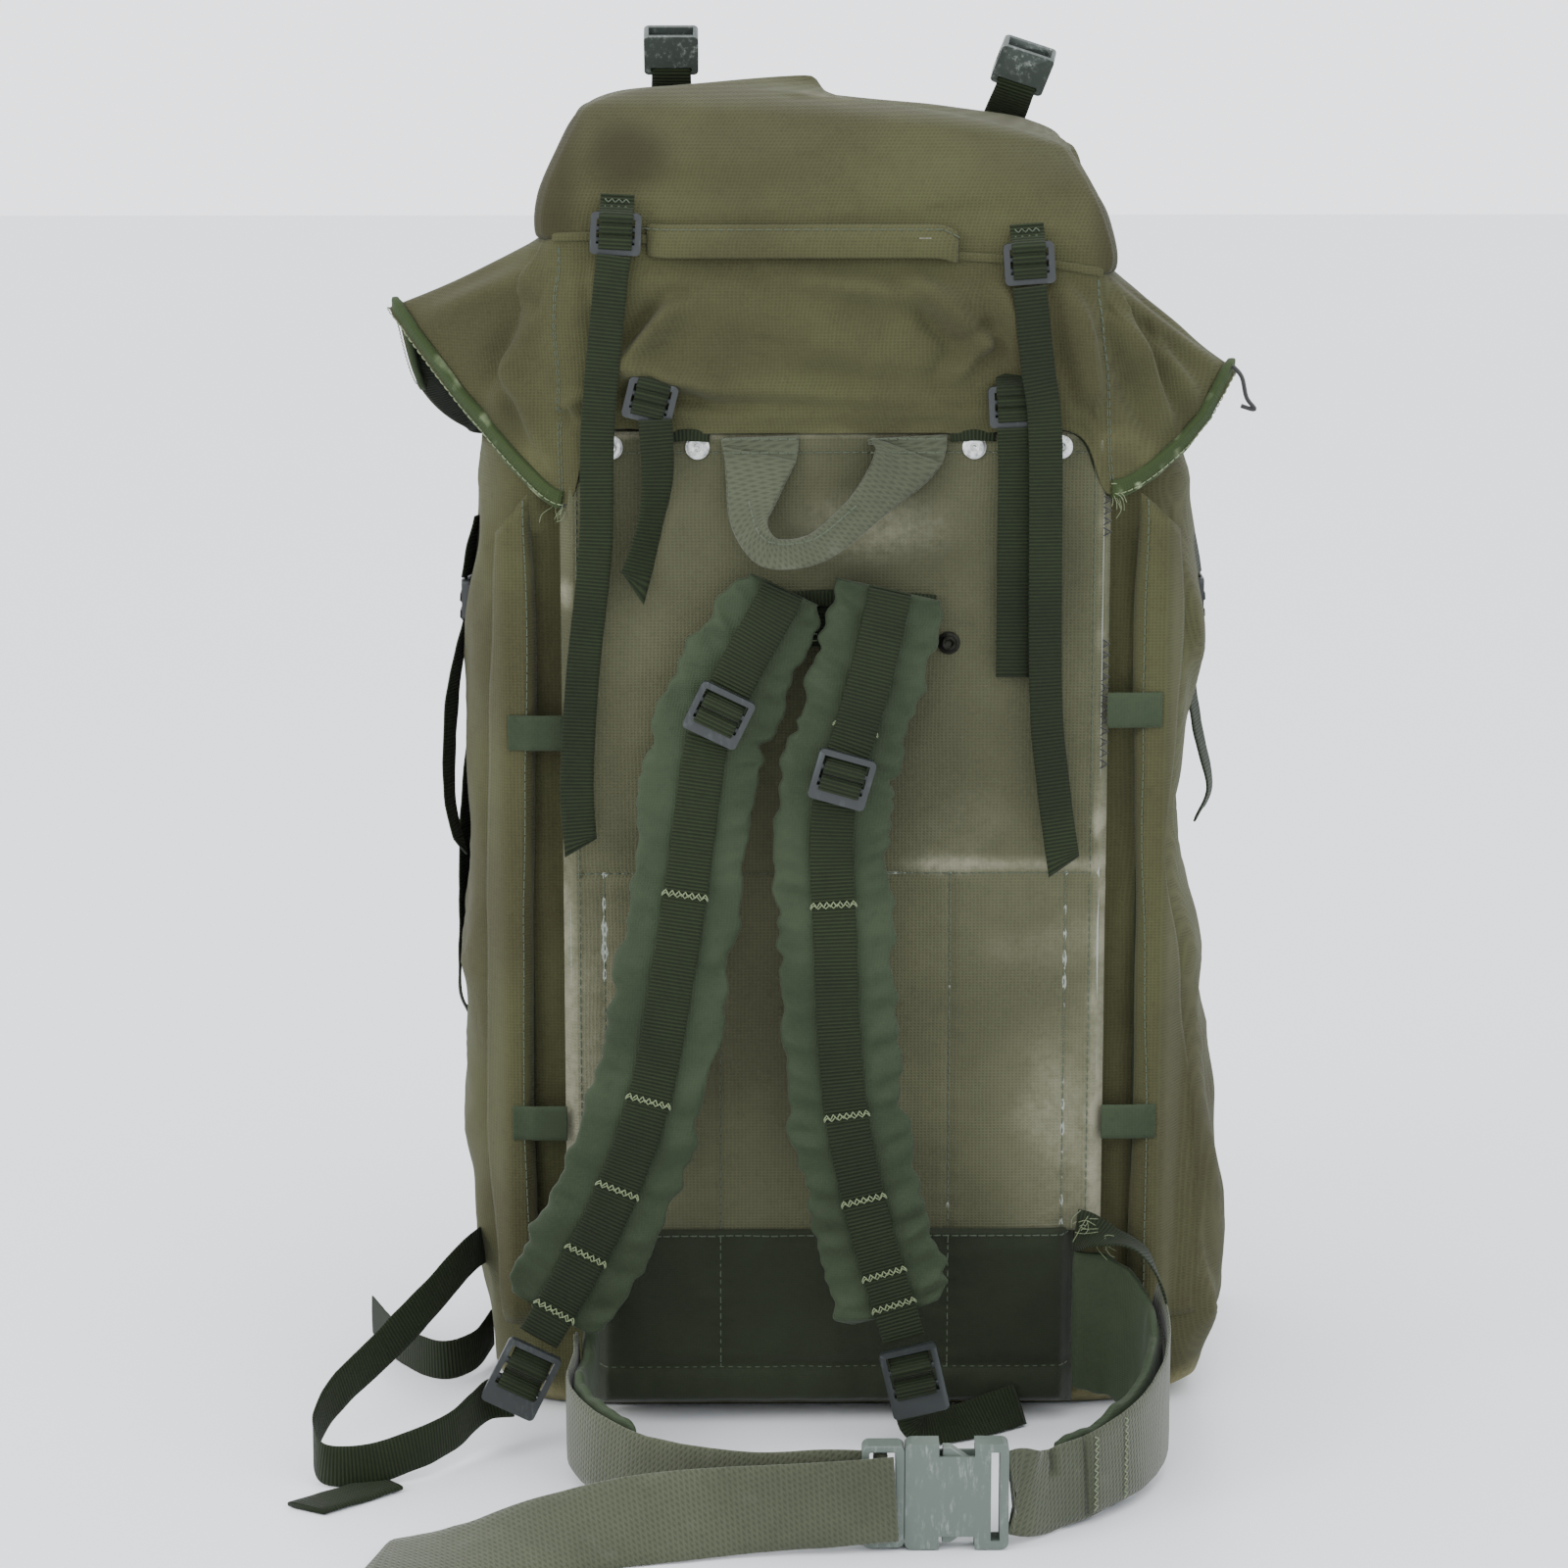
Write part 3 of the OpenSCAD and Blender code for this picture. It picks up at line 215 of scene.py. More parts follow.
def woven(name, base, deep, worn, pitch_mm=1.8, roughness=0.9, sheen=0.04, by_run=False,
          twill=False, ribbed=False, depth=0.35, dirt=0.55, relief=0.5):
    """Woven cloth. Its threads cross each other, patches of it are dirtier or keep more dye,
    and it is rubbed pale where the mesh says so in its wear attribute. The real threads are
    0.4 to 0.8 mm apart; they are drawn coarser so that they show."""
    made, tree, shader = begin(name, roughness, Sheen_Weight=sheen, Sheen_Roughness=0.5,
                               Specular_IOR_Level=0.14)
    place = add(tree, "ShaderNodeTexCoord", out="Object")
    if by_run:
        run = add(tree, "ShaderNodeUVMap")
        warp, weft = ribs(tree, run, 0, pitch_mm), ribs(tree, run, 1, pitch_mm * 1.15)
        if twill:
            tilted = add(tree, "ShaderNodeMapping", {"Vector": run, "Rotation": (0, 0, 0.75)})
            warp = ribs(tree, tilted, 0, pitch_mm)
    else:
        across = add(tree, "ShaderNodeMapping", {"Vector": place, "Rotation": (0, 0, 0.6)})
        warp, weft = ribs(tree, across, 0, pitch_mm), ribs(tree, place, 2, pitch_mm)
    threads = weft
    if not ribbed:
        threads = add(tree, "ShaderNodeMath", {0: warp, 1: weft}, operation="MAXIMUM")
    grain = speckle(tree, place, 5, 4, 0.7)
    grime_and_shade = add(tree, "ShaderNodeAttribute", out="Fac", attribute_name="grime_and_shade")
    rubbed = add(tree, "ShaderNodeAttribute", out="Fac", attribute_name="wear")
    uneven = add(tree, "ShaderNodeMath", {0: grain, 1: 0.45}, operation="ADD")
    rubbed = add(tree, "ShaderNodeMath", {0: rubbed, 1: uneven}, operation="MULTIPLY")
    shade = layered(tree, rgba(base), (
        (speckle(tree, place, 120, 4), 0.38, 0.66, dirt, rgba(deep), "SMOOTHSTEP"),
        (speckle(tree, place, 1.6, 2, 0.8), 0.3, 0.75, 0.3, rgba(base, 1.25), "SMOOTHSTEP"),
        (grain, 0.5, 0.75, 0.3, rgba(deep), "SMOOTHSTEP"),
        # the gaps between the threads
        (threads, 1, 0, depth, rgba(deep, 0.6), "LINEAR"),
        # darker where the grime_and_shade attribute says so: real grime in some places, painted shade in
        # others (under the lid, on the hood, on the sack's right side)
        (grime_and_shade, 0, 1, 0.8, rgba(deep, 0.7), "LINEAR"),
        (rubbed, 0.12, 0.75, 1, rgba(worn), "SMOOTHSTEP")))
    height = add(tree, "ShaderNodeMath", {0: grain, 1: 0.8, 2: threads}, operation="MULTIPLY_ADD")
    finish(tree, shader, shade, height, relief, 0.5)
    return made


def moulded(name, base, scuff, roughness=0.42, amount=0.5, gloss=0.5):
    """Injection-moulded plastic: a faint grain from the mould, and pale scuffs from use."""
    made, tree, shader = begin(name, roughness, IOR=1.48, Specular_IOR_Level=gloss)
    place = add(tree, "ShaderNodeTexCoord", out="Object")
    scratch = speckle(tree, place, 3, 5, 0.75, (1, 1, 0.25))
    cloud = speckle(tree, place, 14, 4)
    edge = add(tree, "ShaderNodeNewGeometry", out="Pointiness")
    scratched, clouded, edged = [
        add(tree, "ShaderNodeMapRange", {"Value": value, "From Min": low, "From Max": high},
            interpolation_type="SMOOTHSTEP")
        for value, low, high in ((scratch, 0.5, 0.72), (cloud, 0.35, 0.65), (edge, 0.53, 0.62))]
    rubbed = add(tree, "ShaderNodeMath", {0: scratched, 1: clouded}, operation="MULTIPLY")
    rubbed = add(tree, "ShaderNodeMath", {0: rubbed, 1: edged}, operation="MAXIMUM")
    shade = layered(tree, rgba(base), ((rubbed, 0, 1, amount, rgba(scuff), "LINEAR"),))
    matte = add(tree, "ShaderNodeMath", {0: cloud, 1: 0.3, 2: roughness - 0.15},
                operation="MULTIPLY_ADD")
    tree.links.new(matte, shader.inputs["Roughness"])
    finish(tree, shader, shade, scratch, 0.25, 0.2)
    return made


def metal(name, base, dull, roughness=0.38):
    """Bare metal, spun or cast: bright, with dull oxide in patches and fine marks."""
    made, tree, shader = begin(name, roughness, Metallic=1.0)
    place = add(tree, "ShaderNodeTexCoord", out="Object")
    cloud = speckle(tree, place, 4, 5, 0.7)
    shade = layered(tree, rgba(base), ((cloud, 0.4, 0.7, 1, rgba(dull), "SMOOTHSTEP"),))
    finish(tree, shader, shade, cloud, 0.3, 0.15)
    return made


def spun(name, base, roughness=0.7, twist_mm=1.2):
    """Sewing thread or cord: twisted yarn, with its lay showing as fine diagonal ribs."""
    made, tree, shader = begin(name, roughness, Sheen_Weight=0.2)
    place = add(tree, "ShaderNodeTexCoord", out="Object")
    tilted = add(tree, "ShaderNodeMapping", {"Vector": place, "Rotation": (0.7, 0.7, 0.4)})
    lay = ribs(tree, tilted, 0, twist_mm)
    shade = layered(tree, rgba(base), ((lay, 0, 1, 0.5, rgba(base, 0.55), "LINEAR"),))
    finish(tree, shader, shade, lay, 0.4, 0.2)
    return made


MATERIALS = {}


def mix_finishes(c):
    """Makes every finish once, from the user's colours."""
    MATERIALS.update(
        # Cotton canvas, proofed and sun-bleached: matte, slightly brown where it is dirty, and darker where
        # shade is painted on the sack and the hood
        canvas=woven("proofed_cotton_canvas", c.canvas, c.canvas_deep, "#75714F"),
        # The same canvas behind the wearer's back: rubbed grey with a pale bloom; its dark tone is also
        # painted as shade under the lid
        panel=woven("faded_canvas", c.panel, "#393A2B", c.panel_worn, dirt=0.6, depth=0.4),
        # The proofed inside of the hood
        lining=woven("proofed_lining", linear("#22281A"), linear("#171B11"), "#2B3220"),
        # Coated nylon: a soft sheen over its folds
        pad=woven("nylon_pad_cloth", c.pad, linear("#1B2415"), "#4A5A3C", roughness=0.62,
                  sheen=0.06, pitch_mm=1.4, depth=0.2, relief=0.3),
        lumbar=woven("nylon_lumbar_cloth", c.lumbar, linear("#161B0F"), "#3C4A30",
                     roughness=0.66, sheen=0.12, pitch_mm=1.4, depth=0.2, relief=0.3),
        # Nylon webbing: fine ribs across it, darker than the canvas
        webbing=woven("nylon_webbing", c.webbing, linear("#11160A"), "#3F4A2C", roughness=0.7,
                      sheen=0.03, by_run=True, ribbed=True, pitch_mm=1.9, depth=0.75, relief=1.0),
        # Cotton and nylon twill webbing, faded grey with worn edges
        belt=woven("twill_belt_webbing", c.belt, linear("#303427"), "#74776A", roughness=0.85,
                   sheen=0.2, by_run=True, twill=True, pitch_mm=2.6, depth=0.5, relief=0.7),
        binding=woven("cotton_binding_tape", c.binding, linear("#25331A"), "#8E9A78",
                      roughness=0.85, by_run=True, pitch_mm=1.6, depth=0.3),
        # Acetal: moulded, satin, scuffed grey on its edges
        acetal=moulded("moulded_acetal", c.acetal, "#4A5050", amount=0.45),
        buckle=moulded("scuffed_acetal_buckle", c.buckle, "#858E86", roughness=0.5, amount=0.7),
        pale=moulded("faded_acetal_socket", linear("#3E4541"), "#9BA39D", roughness=0.5, amount=0.8),
        # Aluminium rivets and zinc sliders: dulled by weather
        rivet=metal("spun_aluminium", linear("#C9CBC8"), linear("#7E807C")),
        zinc=metal("cast_zinc", linear("#9A9B97"), linear("#55574F"), 0.45),
        brass=metal("blackened_brass", linear("#2A2A26"), linear("#14140F"), 0.5),
        spring=metal("spring_steel", linear("#A8AAA8"), linear("#6B6D6B"), 0.3),
        # Polyester sewing thread, pale where it is new and dark where it mends
        thread=spun("pale_polyester_thread", c.thread),
        dark_thread=spun("dark_polyester_thread", linear("#3A4630")),
        black_thread=spun("black_mending_thread", linear("#14160F")),
        cord=spun("black_nylon_cord", linear("#141512"), 0.6, 2.4),
        zip=woven("zip_tape", linear("#262C1C"), linear("#171B10"), "#3E4630", pitch_mm=1.2),
        foam=woven("closed_cell_foam", linear("#8A8F86"), linear("#6F746B"), "#A0A49C", pitch_mm=3),
        sheet=moulded("polythene_frame_sheet", linear("#D0D0C8"), "#F0F0EA", amount=0.3),
    )


# ------------------------------------------------------------ mesh making


def smooth(points, steps, closed=False):
    """Catmull-Rom curve through hand-set stations, each a tuple of numbers."""
    n = len(points)
    at = (lambda k: points[k % n]) if closed else (lambda k: points[min(max(k, 0), n - 1)])
    made = []
    for i in range(n if closed else n - 1):
        for k in range(steps):
            t = k / steps
            made.append(tuple(
                0.5 * (2 * q + (r - p) * t + (2 * p - 5 * q + 4 * r - s) * t * t
                       + (3 * q - p - 3 * r + s) * t ** 3)
                for p, q, r, s in zip(at(i - 1), at(i), at(i + 1), at(i + 2))))
    return made if closed else made + [tuple(map(float, points[-1]))]


def ease(low, high, x):
    """Goes smoothly from 0 at low to 1 at high."""
    t = min(1.0, max(0.0, (x - low) / (high - low)))
    return t * t * (3 - 2 * t)


def lookup(table, x):
    """Smooth value at x from a sorted list of (x, value)."""
    if x <= table[0][0]:
        return table[0][1]
    for (x0, y0), (x1, y1) in zip(table, table[1:]):
        if x <= x1:
            return y0 + (y1 - y0) * ease(x0, x1, x)
    return table[-1][1]


def fold_noise(p, size, seed=0.0):
    """Ridged noise from -1 to 1, in millimetres, with sharp crests as cloth has."""
    n = noise.noise(Vector((p[0] / size + seed, p[1] / size, p[2] / size)))
    return 1 - 3.2 * abs(n)


def nearness(p, a, b):
    """Distance from a point to a segment, and how far along it, in the same units."""
    p, a, b = Vector(p), Vector(a), Vector(b)
    run = b - a
    t = min(1.0, max(0.0, (p - a).dot(run) / max(run.length_squared, 1e-9)))
    return (p - a - run * t).length, t


def creases(p, strokes):
    """Height of the drawn folds at a point: each stroke is (from, to, half width, height)."""
    total = 0.0
    for a, b, width, height in strokes:
        away, t = nearness(p, a, b)
        if away < 4 * width:
            # a crest, and on its right hand the hollow that it hangs over
            level = (p[0] - a[0]) * (b[2] - a[2]) - (p[2] - a[2]) * (b[0] - a[0])
            hollow = math.copysign(away, level) - 1.5 * width
            shape = math.exp(-(away / width) ** 2) - 0.7 * math.exp(-(hollow / width) ** 2)
            total += height * shape * (0.25 + 0.75 * math.sin(math.pi * min(1, 0.15 + 0.75 * t)))
    return total


def skin(rings, closed=True, caps=False, across=None):
    """Vertices, faces and UVs in metres of a surface through rings of points in millimetres."""
    count = len(rings[0])
    verts = [Vector(p) * MM for ring in rings for p in ring]
    middle = [Vector(p) * MM for p in rings[len(rings) // 2]]
    if across is None:
        across = [0.0]
        for j in range(count):
            across.append(across[-1] + (middle[(j + 1) % count] - middle[j]).length)
    along = [0.0]
    for i in range(1, len(rings)):
        step = sum((verts[i * count + j] - verts[(i - 1) * count + j]).length
                   for j in (0, count // 3, (2 * count) // 3)) / 3
        along.append(along[-1] + step)
    faces, uvs = [], []
    for i in range(len(rings) - 1):
        for j in range(count if closed else count - 1):
            k = (j + 1) % count
            faces.append((i * count + j, i * count + k, (i + 1) * count + k, (i + 1) * count + j))
            uvs += [(across[j], along[i]), (across[j + 1], along[i]),
                    (across[j + 1], along[i + 1]), (across[j], along[i + 1])]
    if caps:
        for start in (0, (len(rings) - 1) * count):
            faces.append(tuple(range(start, start + count)))
            uvs += [(across[j], along[0]) for j in range(count)]
    return verts, faces, uvs


def joined(parts):
    """One set of vertices, faces and UVs from several."""
    verts, faces, uvs = [], [], []
    for v, f, u in parts:
        start = len(verts)
        verts += v
        faces += [tuple(i + start for i in face) for face in f]
        uvs += u
    return verts, faces, uvs


def piece(name, shape, material, body="root", stands_for=(), solid=0.0, rounds=0,
          bevel=0.0):
    """Makes an object of one piece, with its finish, its body and the nodes it stands for."""
    verts, faces, uvs = shape
    mesh = bpy.data.meshes.new(name)
    mesh.from_pydata(verts, [], faces)
    layer = mesh.uv_layers.new(name="run")
    for loop, uv in zip(layer.data, uvs):
        loop.uv = uv
    fix = bmesh.new()
    fix.from_mesh(mesh)
    bmesh.ops.recalc_face_normals(fix, faces=fix.faces)
    fix.to_mesh(mesh)
    fix.free()
    mesh.shade_smooth()
    obj = bpy.data.objects.new(name, mesh)
    bpy.context.scene.collection.objects.link(obj)
    mesh.materials.append(MATERIALS[material])
    if solid:
        shell = obj.modifiers.new("cloth thickness", "SOLIDIFY")
        shell.thickness, shell.offset = solid, 0
    if bevel:
        edge = obj.modifiers.new("moulded edges", "BEVEL")
        edge.width, edge.segments, edge.limit_method = bevel, 2, "ANGLE"
    if rounds:
        obj.modifiers.new("soft form", "SUBSURF").levels = rounds
        obj.modifiers["soft form"].render_levels = rounds
    if body:
        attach(obj, body)
    if stands_for:
        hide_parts(*stands_for)
    return obj


def wear(obj, share, kind="wear"):
    """Writes how rubbed, or how grimy, the cloth is at each vertex, from its place in mm."""
    layer = obj.data.attributes.new(kind, "FLOAT", "POINT")
    layer.data.foreach_set("value", [max(0.0, share(v.co / MM)) for v in obj.data.vertices])


def blotch(p, size, seed=0.0):
    """Soft patches from 0 to 1, in millimetres."""
    return ease(0.05, 0.55, noise.noise(Vector(p) / size + Vector((seed, 0, seed))))


def headings(points):
    """Unit direction at each point of a run."""
    points = [Vector(p[:3]) for p in points]
    last = len(points) - 1
    return [(points[min(i + 1, last)] - points[max(i - 1, 0)]).normalized()
            for i in range(len(points))]


# A band's section: [share of the half width, share of the half thickness] round its edge
BAND_SECTION = [(-1, 0.2), (-0.96, 0.8), (-0.7, 1), (-0.25, 1.05), (0.25, 1.05), (0.7, 1),
                (0.96, 0.8), (1, 0.2), (1, -0.2), (0.96, -0.8), (0.7, -1), (0.25, -1.05),
                (-0.25, -1.05), (-0.7, -1), (-0.96, -0.8), (-1, -0.2)]


def band(stations, thick, off=0.0, ripple=0.0, seed=0.0, cut=0.0):
    """Webbing along stations of [x, y, z, facing x, y, z, width]. Its edges ripple a little,
    and cut slants its far end."""
    along = headings(stations)
    rings = []
    run = 0.0
    for i, (s, ahead) in enumerate(zip(stations, along)):
        here, out, half = Vector(s[:3]), Vector(s[3:6]), s[6] / 2
        if i:
            run += (here - Vector(stations[i - 1][:3])).length
        side = ahead.cross(out).normalized()
        face = side.cross(ahead)
        slant = cut * ease(len(stations) - 4, len(stations) - 1, i)
        ring = []
        for u, h in BAND_SECTION:
            wave = ripple * abs(u) ** 2 * noise.noise(Vector((run / 16, u * 2 + seed, seed)))
            ring.append(here + side * u * half + ahead * u * slant
                        + face * (off + h * thick / 2 + wave))
        rings.append(ring)
    width = stations[len(stations) // 2][6] * MM / 2
    across = [u * width for u, _ in BAND_SECTION] + [BAND_SECTION[0][0] * width]
    return skin(rings, caps=True, across=across)


def tube(points, radius, sides=6, caps=True):
    """A round thread or cord through points in millimetres."""
    rings = []
    side = None
    for p, ahead in zip(points, headings(points)):
        side = ahead.orthogonal() if side is None else (side - ahead * side.dot(ahead))
        side = side.normalized()
        up = ahead.cross(side)
        rings.append([Vector(p[:3]) + radius * (side * math.cos(2 * math.pi * k / sides)
                                                + up * math.sin(2 * math.pi * k / sides))
                      for k in range(sides)])
    return skin(rings, caps=caps)


def walk(points, pitch):
    """Points at equal steps along a run, each with its direction."""
    points = [Vector(p[:3]) for p in points]
    made, left = [], 0.0
    for a, b in zip(points, points[1:]):
        length = (b - a).length
        at = left
        while at < length:
            made.append((a + (b - a) * at / length, (b - a).normalized()))
            at += pitch
        left = at - length
    return made


def stitches(points, out, radius, length=4.2, pitch=5.4, sink=0.25):
    """A row of lockstitches: short threads that dive into the cloth at both ends."""
    out = Vector(out).normalized()
    parts = []
    for p, ahead in walk(points, pitch):
        arc = [p + ahead * length * (t - 0.5) + out * radius * (math.sin(math.pi * t) * 1.3 - sink)
               for t in (0, 0.25, 0.5, 0.75, 1)]
        parts.append(tube(arc, radius, 5))
    return joined(parts)


def zigzag(a, b, out, radius, step=2.2, tall=3.2):
    """Bar tack: one thread going up and down across a run."""
    a, b, out = Vector(a), Vector(b), Vector(out).normalized()
    run = b - a
    over = run.cross(out).normalized() * tall / 2
    n = max(2, round(run.length / step))
    points = [a + run * i / n + over * (1 if i % 2 else -1) + out * radius for i in range(n + 1)]
    return tube(smooth([tuple(p) for p in points], 2), radius, 5)


def fray(at, lean, count, length, radius, seed):
    """Loose threads that stand out of a worn edge, each its own way."""
    parts = []
    for k in range(count):
        turn = [noise.noise(Vector((k * 1.7 + seed, axis * 3.1, seed))) for axis in range(6)]
        start = Vector(at) + Vector(turn[:3]) * 9
        way = (Vector(lean) + Vector(turn[3:]) * 1.6).normalized() * length * (0.6 + abs(turn[0]))
        parts.append(tube(smooth([tuple(start), tuple(start + way * 0.5 + Vector(turn[:3]) * 4),
                                  tuple(start + way)], 4), radius, 4))
    return joined(parts)


# ------------------------------------------------------------ stage


def make_stage(sizes):
    """Camera, lights and a plain pale floor."""
    scene = bpy.context.scene
    camera = bpy.data.objects.new("camera", bpy.data.cameras.new("camera"))
    scene.collection.objects.link(camera)
    camera.location = Vector((-60, -2780, 960)) * MM
    aim = Vector((-30, -137, 392)) * MM - camera.location
    camera.rotation_euler = aim.to_track_quat("-Z", "Y").to_euler()
    camera.data.lens = sizes.lens
    camera.data.sensor_width = 36
    scene.camera = camera

    half = sizes.floor * 500
    spread = 12
    rings = [[(-half + 2 * half * j / spread, -half + 2 * half * i / spread, -0.2)
              for j in range(spread + 1)] for i in range(spread + 1)]
    verts, faces, _ = skin(rings, closed=False)
    mesh = bpy.data.meshes.new("floor")
    mesh.from_pydata(verts, [], faces)
    floor = bpy.data.objects.new("floor", mesh)
    scene.collection.objects.link(floor)
    # Painted board: pale, with a soft reflection
    made, tree, shader = begin("satin_painted_board", 0.38, Specular_IOR_Level=0.35)
    place = add(tree, "ShaderNodeTexCoord", out="Object")
    cloud = speckle(tree, place, 900, 2)
    tone = scene.rucksack_colours.floor
    shade = layered(tree, rgba(tone), ((cloud, 0, 1, 1, rgba(tone, 0.96), "LINEAR"),))
    tree.links.new(shade, shader.inputs["Base Color"])
    mesh.materials.append(made)

    world = bpy.data.worlds.new("studio")
    scene.world = world
    world.use_nodes = True
    world.node_tree.nodes["Background"].inputs[0].default_value = rgba("#F5F7FC")
    world.node_tree.nodes["Background"].inputs[1].default_value = 2.5
    for name, at, aim, size, power, tint in (
            ("key_light", (-2.3, -1.5, 1.5), (0, 0, 0.3), 0.9, 34, "#FFFDF8"),
            ("fill_light", (2.4, -1.8, 0.9), (0, 0, 0.2), 1.2, 9, "#F4F8FF"),
            ("top_light", (0.2, -0.6, 2.6), (0, 0, 0.5), 1.0, 9, "#FFFFFF")):
        light = bpy.data.lights.new(name, "AREA")
        light.size, light.energy, light.color = size, power, linear(tint)
        lamp = bpy.data.objects.new(name, light)
        lamp.location = at
        lamp.rotation_euler = (Vector(aim) - Vector(at)).to_track_quat("-Z", "Y").to_euler()
        scene.collection.objects.link(lamp)


# ------------------------------------------------------------ sack

# Half widths of the slack canvas by height, left and right of the middle
SACK_LEFT = [(0, 202), (20, 207), (86, 215), (181, 222), (306, 220), (428, 217), (500, 213),
             (560, 210), (592, 206)]
SACK_RIGHT = [(0, 214), (14, 228), (60, 238), (120, 237), (179, 232), (267, 221), (348, 208),
              (427, 215), (488, 219), (560, 215), (592, 207)]
SACK_FOLDS = [
    ((-224, -60, 60), (-205, -110, 150), 14, 3.5), ((-222, 0, 330), (-215, -90, 260), 16, 3),
    ((214, -40, 350), (222, 60, 330), 18, -7), ((216, -60, 380), (224, 40, 410), 16, 4),
    ((236, -70, 90), (225, -110, 210), 14, 4), ((236, -20, 240), (214, -90, 330), 16, 3.5),
    ((205, -115, 520), (218, -60, 430), 12, 4), ((-210, -100, 530), (-219, -50, 440), 12, 4),
    ((236, -90, 30), (226, -118, 90), 10, 4), ((-180, -127, 60), (-200, -118, 160), 10, 3),
]


def sack_point(turn, z, out=0.0):
    """A point on the sack's slack shell, turn going once round from the middle of the back."""
    c, s = math.cos(turn), math.sin(turn)
    half = lookup(SACK_LEFT, z) if s < 0 else lookup(SACK_RIGHT, z)
    power = 2 / 6.5
    x = half * math.copysign(abs(s) ** power, s)
    deep = -(SACK_BACK + 1) if c > 0 else SACK_FRONT
    y = -deep * math.copysign(abs(c) ** power, c)
    p = Vector((x, y, z))
    n = Vector((x / half ** 2 * abs(x / half) ** 4, y / deep ** 2 * abs(y / deep) ** 4, 0)).normalized()
    return p + n * out


def sack_wave(p):
    """Folds of the slack canvas, in millimetres."""
    calm = 0.25 if abs(p[0]) < 165 and p[1] < 0 else 1.0
    calm *= 0.3 if abs(p[0]) < 150 and p[1] > 0 else 1.0
    wide = fold_noise((p[0], p[1], p[2] * 0.6), 95, 3.1) * 0.6 + fold_noise(p, 42, 8.4) * 0.25
    return calm * wide


def make_sack(sizes):
    """The slack sack with its sewn floor, and the reinforced base under it."""
    around, tall = 168, 110
    rings = []
    for i in range(tall + 1):
        z = 2.5 + (SACK_TOP - 3) * i / tall
        tuck = 10 * (1 - ease(0, 22, z)) ** 2
        ring = []
        for j in range(around):
            turn = 2 * math.pi * (j + 0.5) / around
            p = sack_point(turn, z)
            lift = sack_wave(p) * sizes.fold / MM * ease(0, 60, z) + creases(p, SACK_FOLDS) - tuck
            lift = max(-9, min(6, lift))
            if abs(p[0]) < 168 and p[1] < 0:
                lift = min(0.0, lift)
            if abs(p[0]) < 118 and p[1] > 0:
                lift = min(-0.5, lift)
            ring.append(sack_point(turn, z, lift))
        rings.append(ring)
    body = skin(rings)
    floor_rings = [[(q[0] * k, q[1] * k, 2.5) for q in rings[0]] for k in (1, 0.8, 0.5, 0.2, 0.02)]
    obj = piece("sack_canvas", joined([body, skin(floor_rings, caps=True)]), "canvas",
                stands_for=["main_sack"], solid=sizes.canvas)
    wear(obj, lambda p: 0.7 * (1 - ease(0, 30, p[2])) + 0.14 * blotch(p, 70, 2))
    # painted shade: these grime_and_shade values darken the sack in patches on its right side, away from the
    # key light, and towards the floor
    wear(obj, lambda p: (0.35 * ease(0, 200, p[0]) * blotch(p, 110, 7)
                         + 0.4 * (1 - ease(0, 80, p[2]))), "grime_and_shade")
    patch = [[(q[0] * k, q[1] * k, z) for q in rings[0]]
             for k, z in ((0.95, 0.4), (0.99, 0.9), (1.0, 1.9), (0.96, 2.3))]
    piece("base_reinforcement", skin(patch, caps=True), "lumbar",
          stands_for=["base_patch"])


def flap_sheet(side):
    """Weather flap over one side zip: from its seam round the corner to its free edge."""
    edge = [(58, 175), (100, 176), (200, 178), (303, 177), (392, 175), (480, 173), (563, 176)]
    seam_turn = 0.90
    rings = []
    for i in range(81):
        ring = []
        for j in range(15):
            t = j / 14
            z = 58 + (505 - 22 * t) * i / 80
            wide = lookup(SACK_RIGHT if side > 0 else SACK_LEFT, z)
            first = math.asin(min(1, lookup(edge, z) / wide) ** 3.25)
            turn = first + (seam_turn - first) * t
            wave = 1.6 * noise.noise(Vector((z / 46, side * 4, 1))) * (1 - t)
            hem = 0.9 if t < 0.16 else 0
            lift = 2.2 + 3.4 * (1 - t) ** 2 + wave + hem
            q = sack_point(side * turn, z)
            q = sack_point(side * turn, z, lift + 0.9 * sack_wave(q))
            # the flap lies over the zip and its pull, then turns back to the sack's side
            tuck = 6 * (1 - ease(0, 0.16, t)) + 7 * ease(549, 563, z) + 7 * (1 - ease(58, 70, z))
            q.y = min(q.y, -136 - wave * 0.5 + min(7, tuck) + 26 * ease(191, 214, abs(q.x)))
            ring.append(q)
        rings.append(ring)
    return rings


def make_side_flaps(sizes):
    """The weather flaps over the two side zips, hemmed along their free edges."""
    parts, rows = [], []
    for side in (-1, 1):
        rings = flap_sheet(side)
        parts.append(skin(rings, closed=False))
        hem = [tuple(Vector(r[2]) + Vector((0, -0.9, 0))) for r in rings]
        rows.append(stitches(hem, (0, -1, 0), sizes.thread / MM))
    obj = piece("side_weather_flaps", joined(parts), "canvas",
                stands_for=["side_flaps"], solid=sizes.canvas)
    wear(obj, lambda p: 0.16 * (1 - ease(0, 6, abs(abs(p[0]) - 178))))
    piece("side_flap_stitches", joined(rows), "dark_thread")


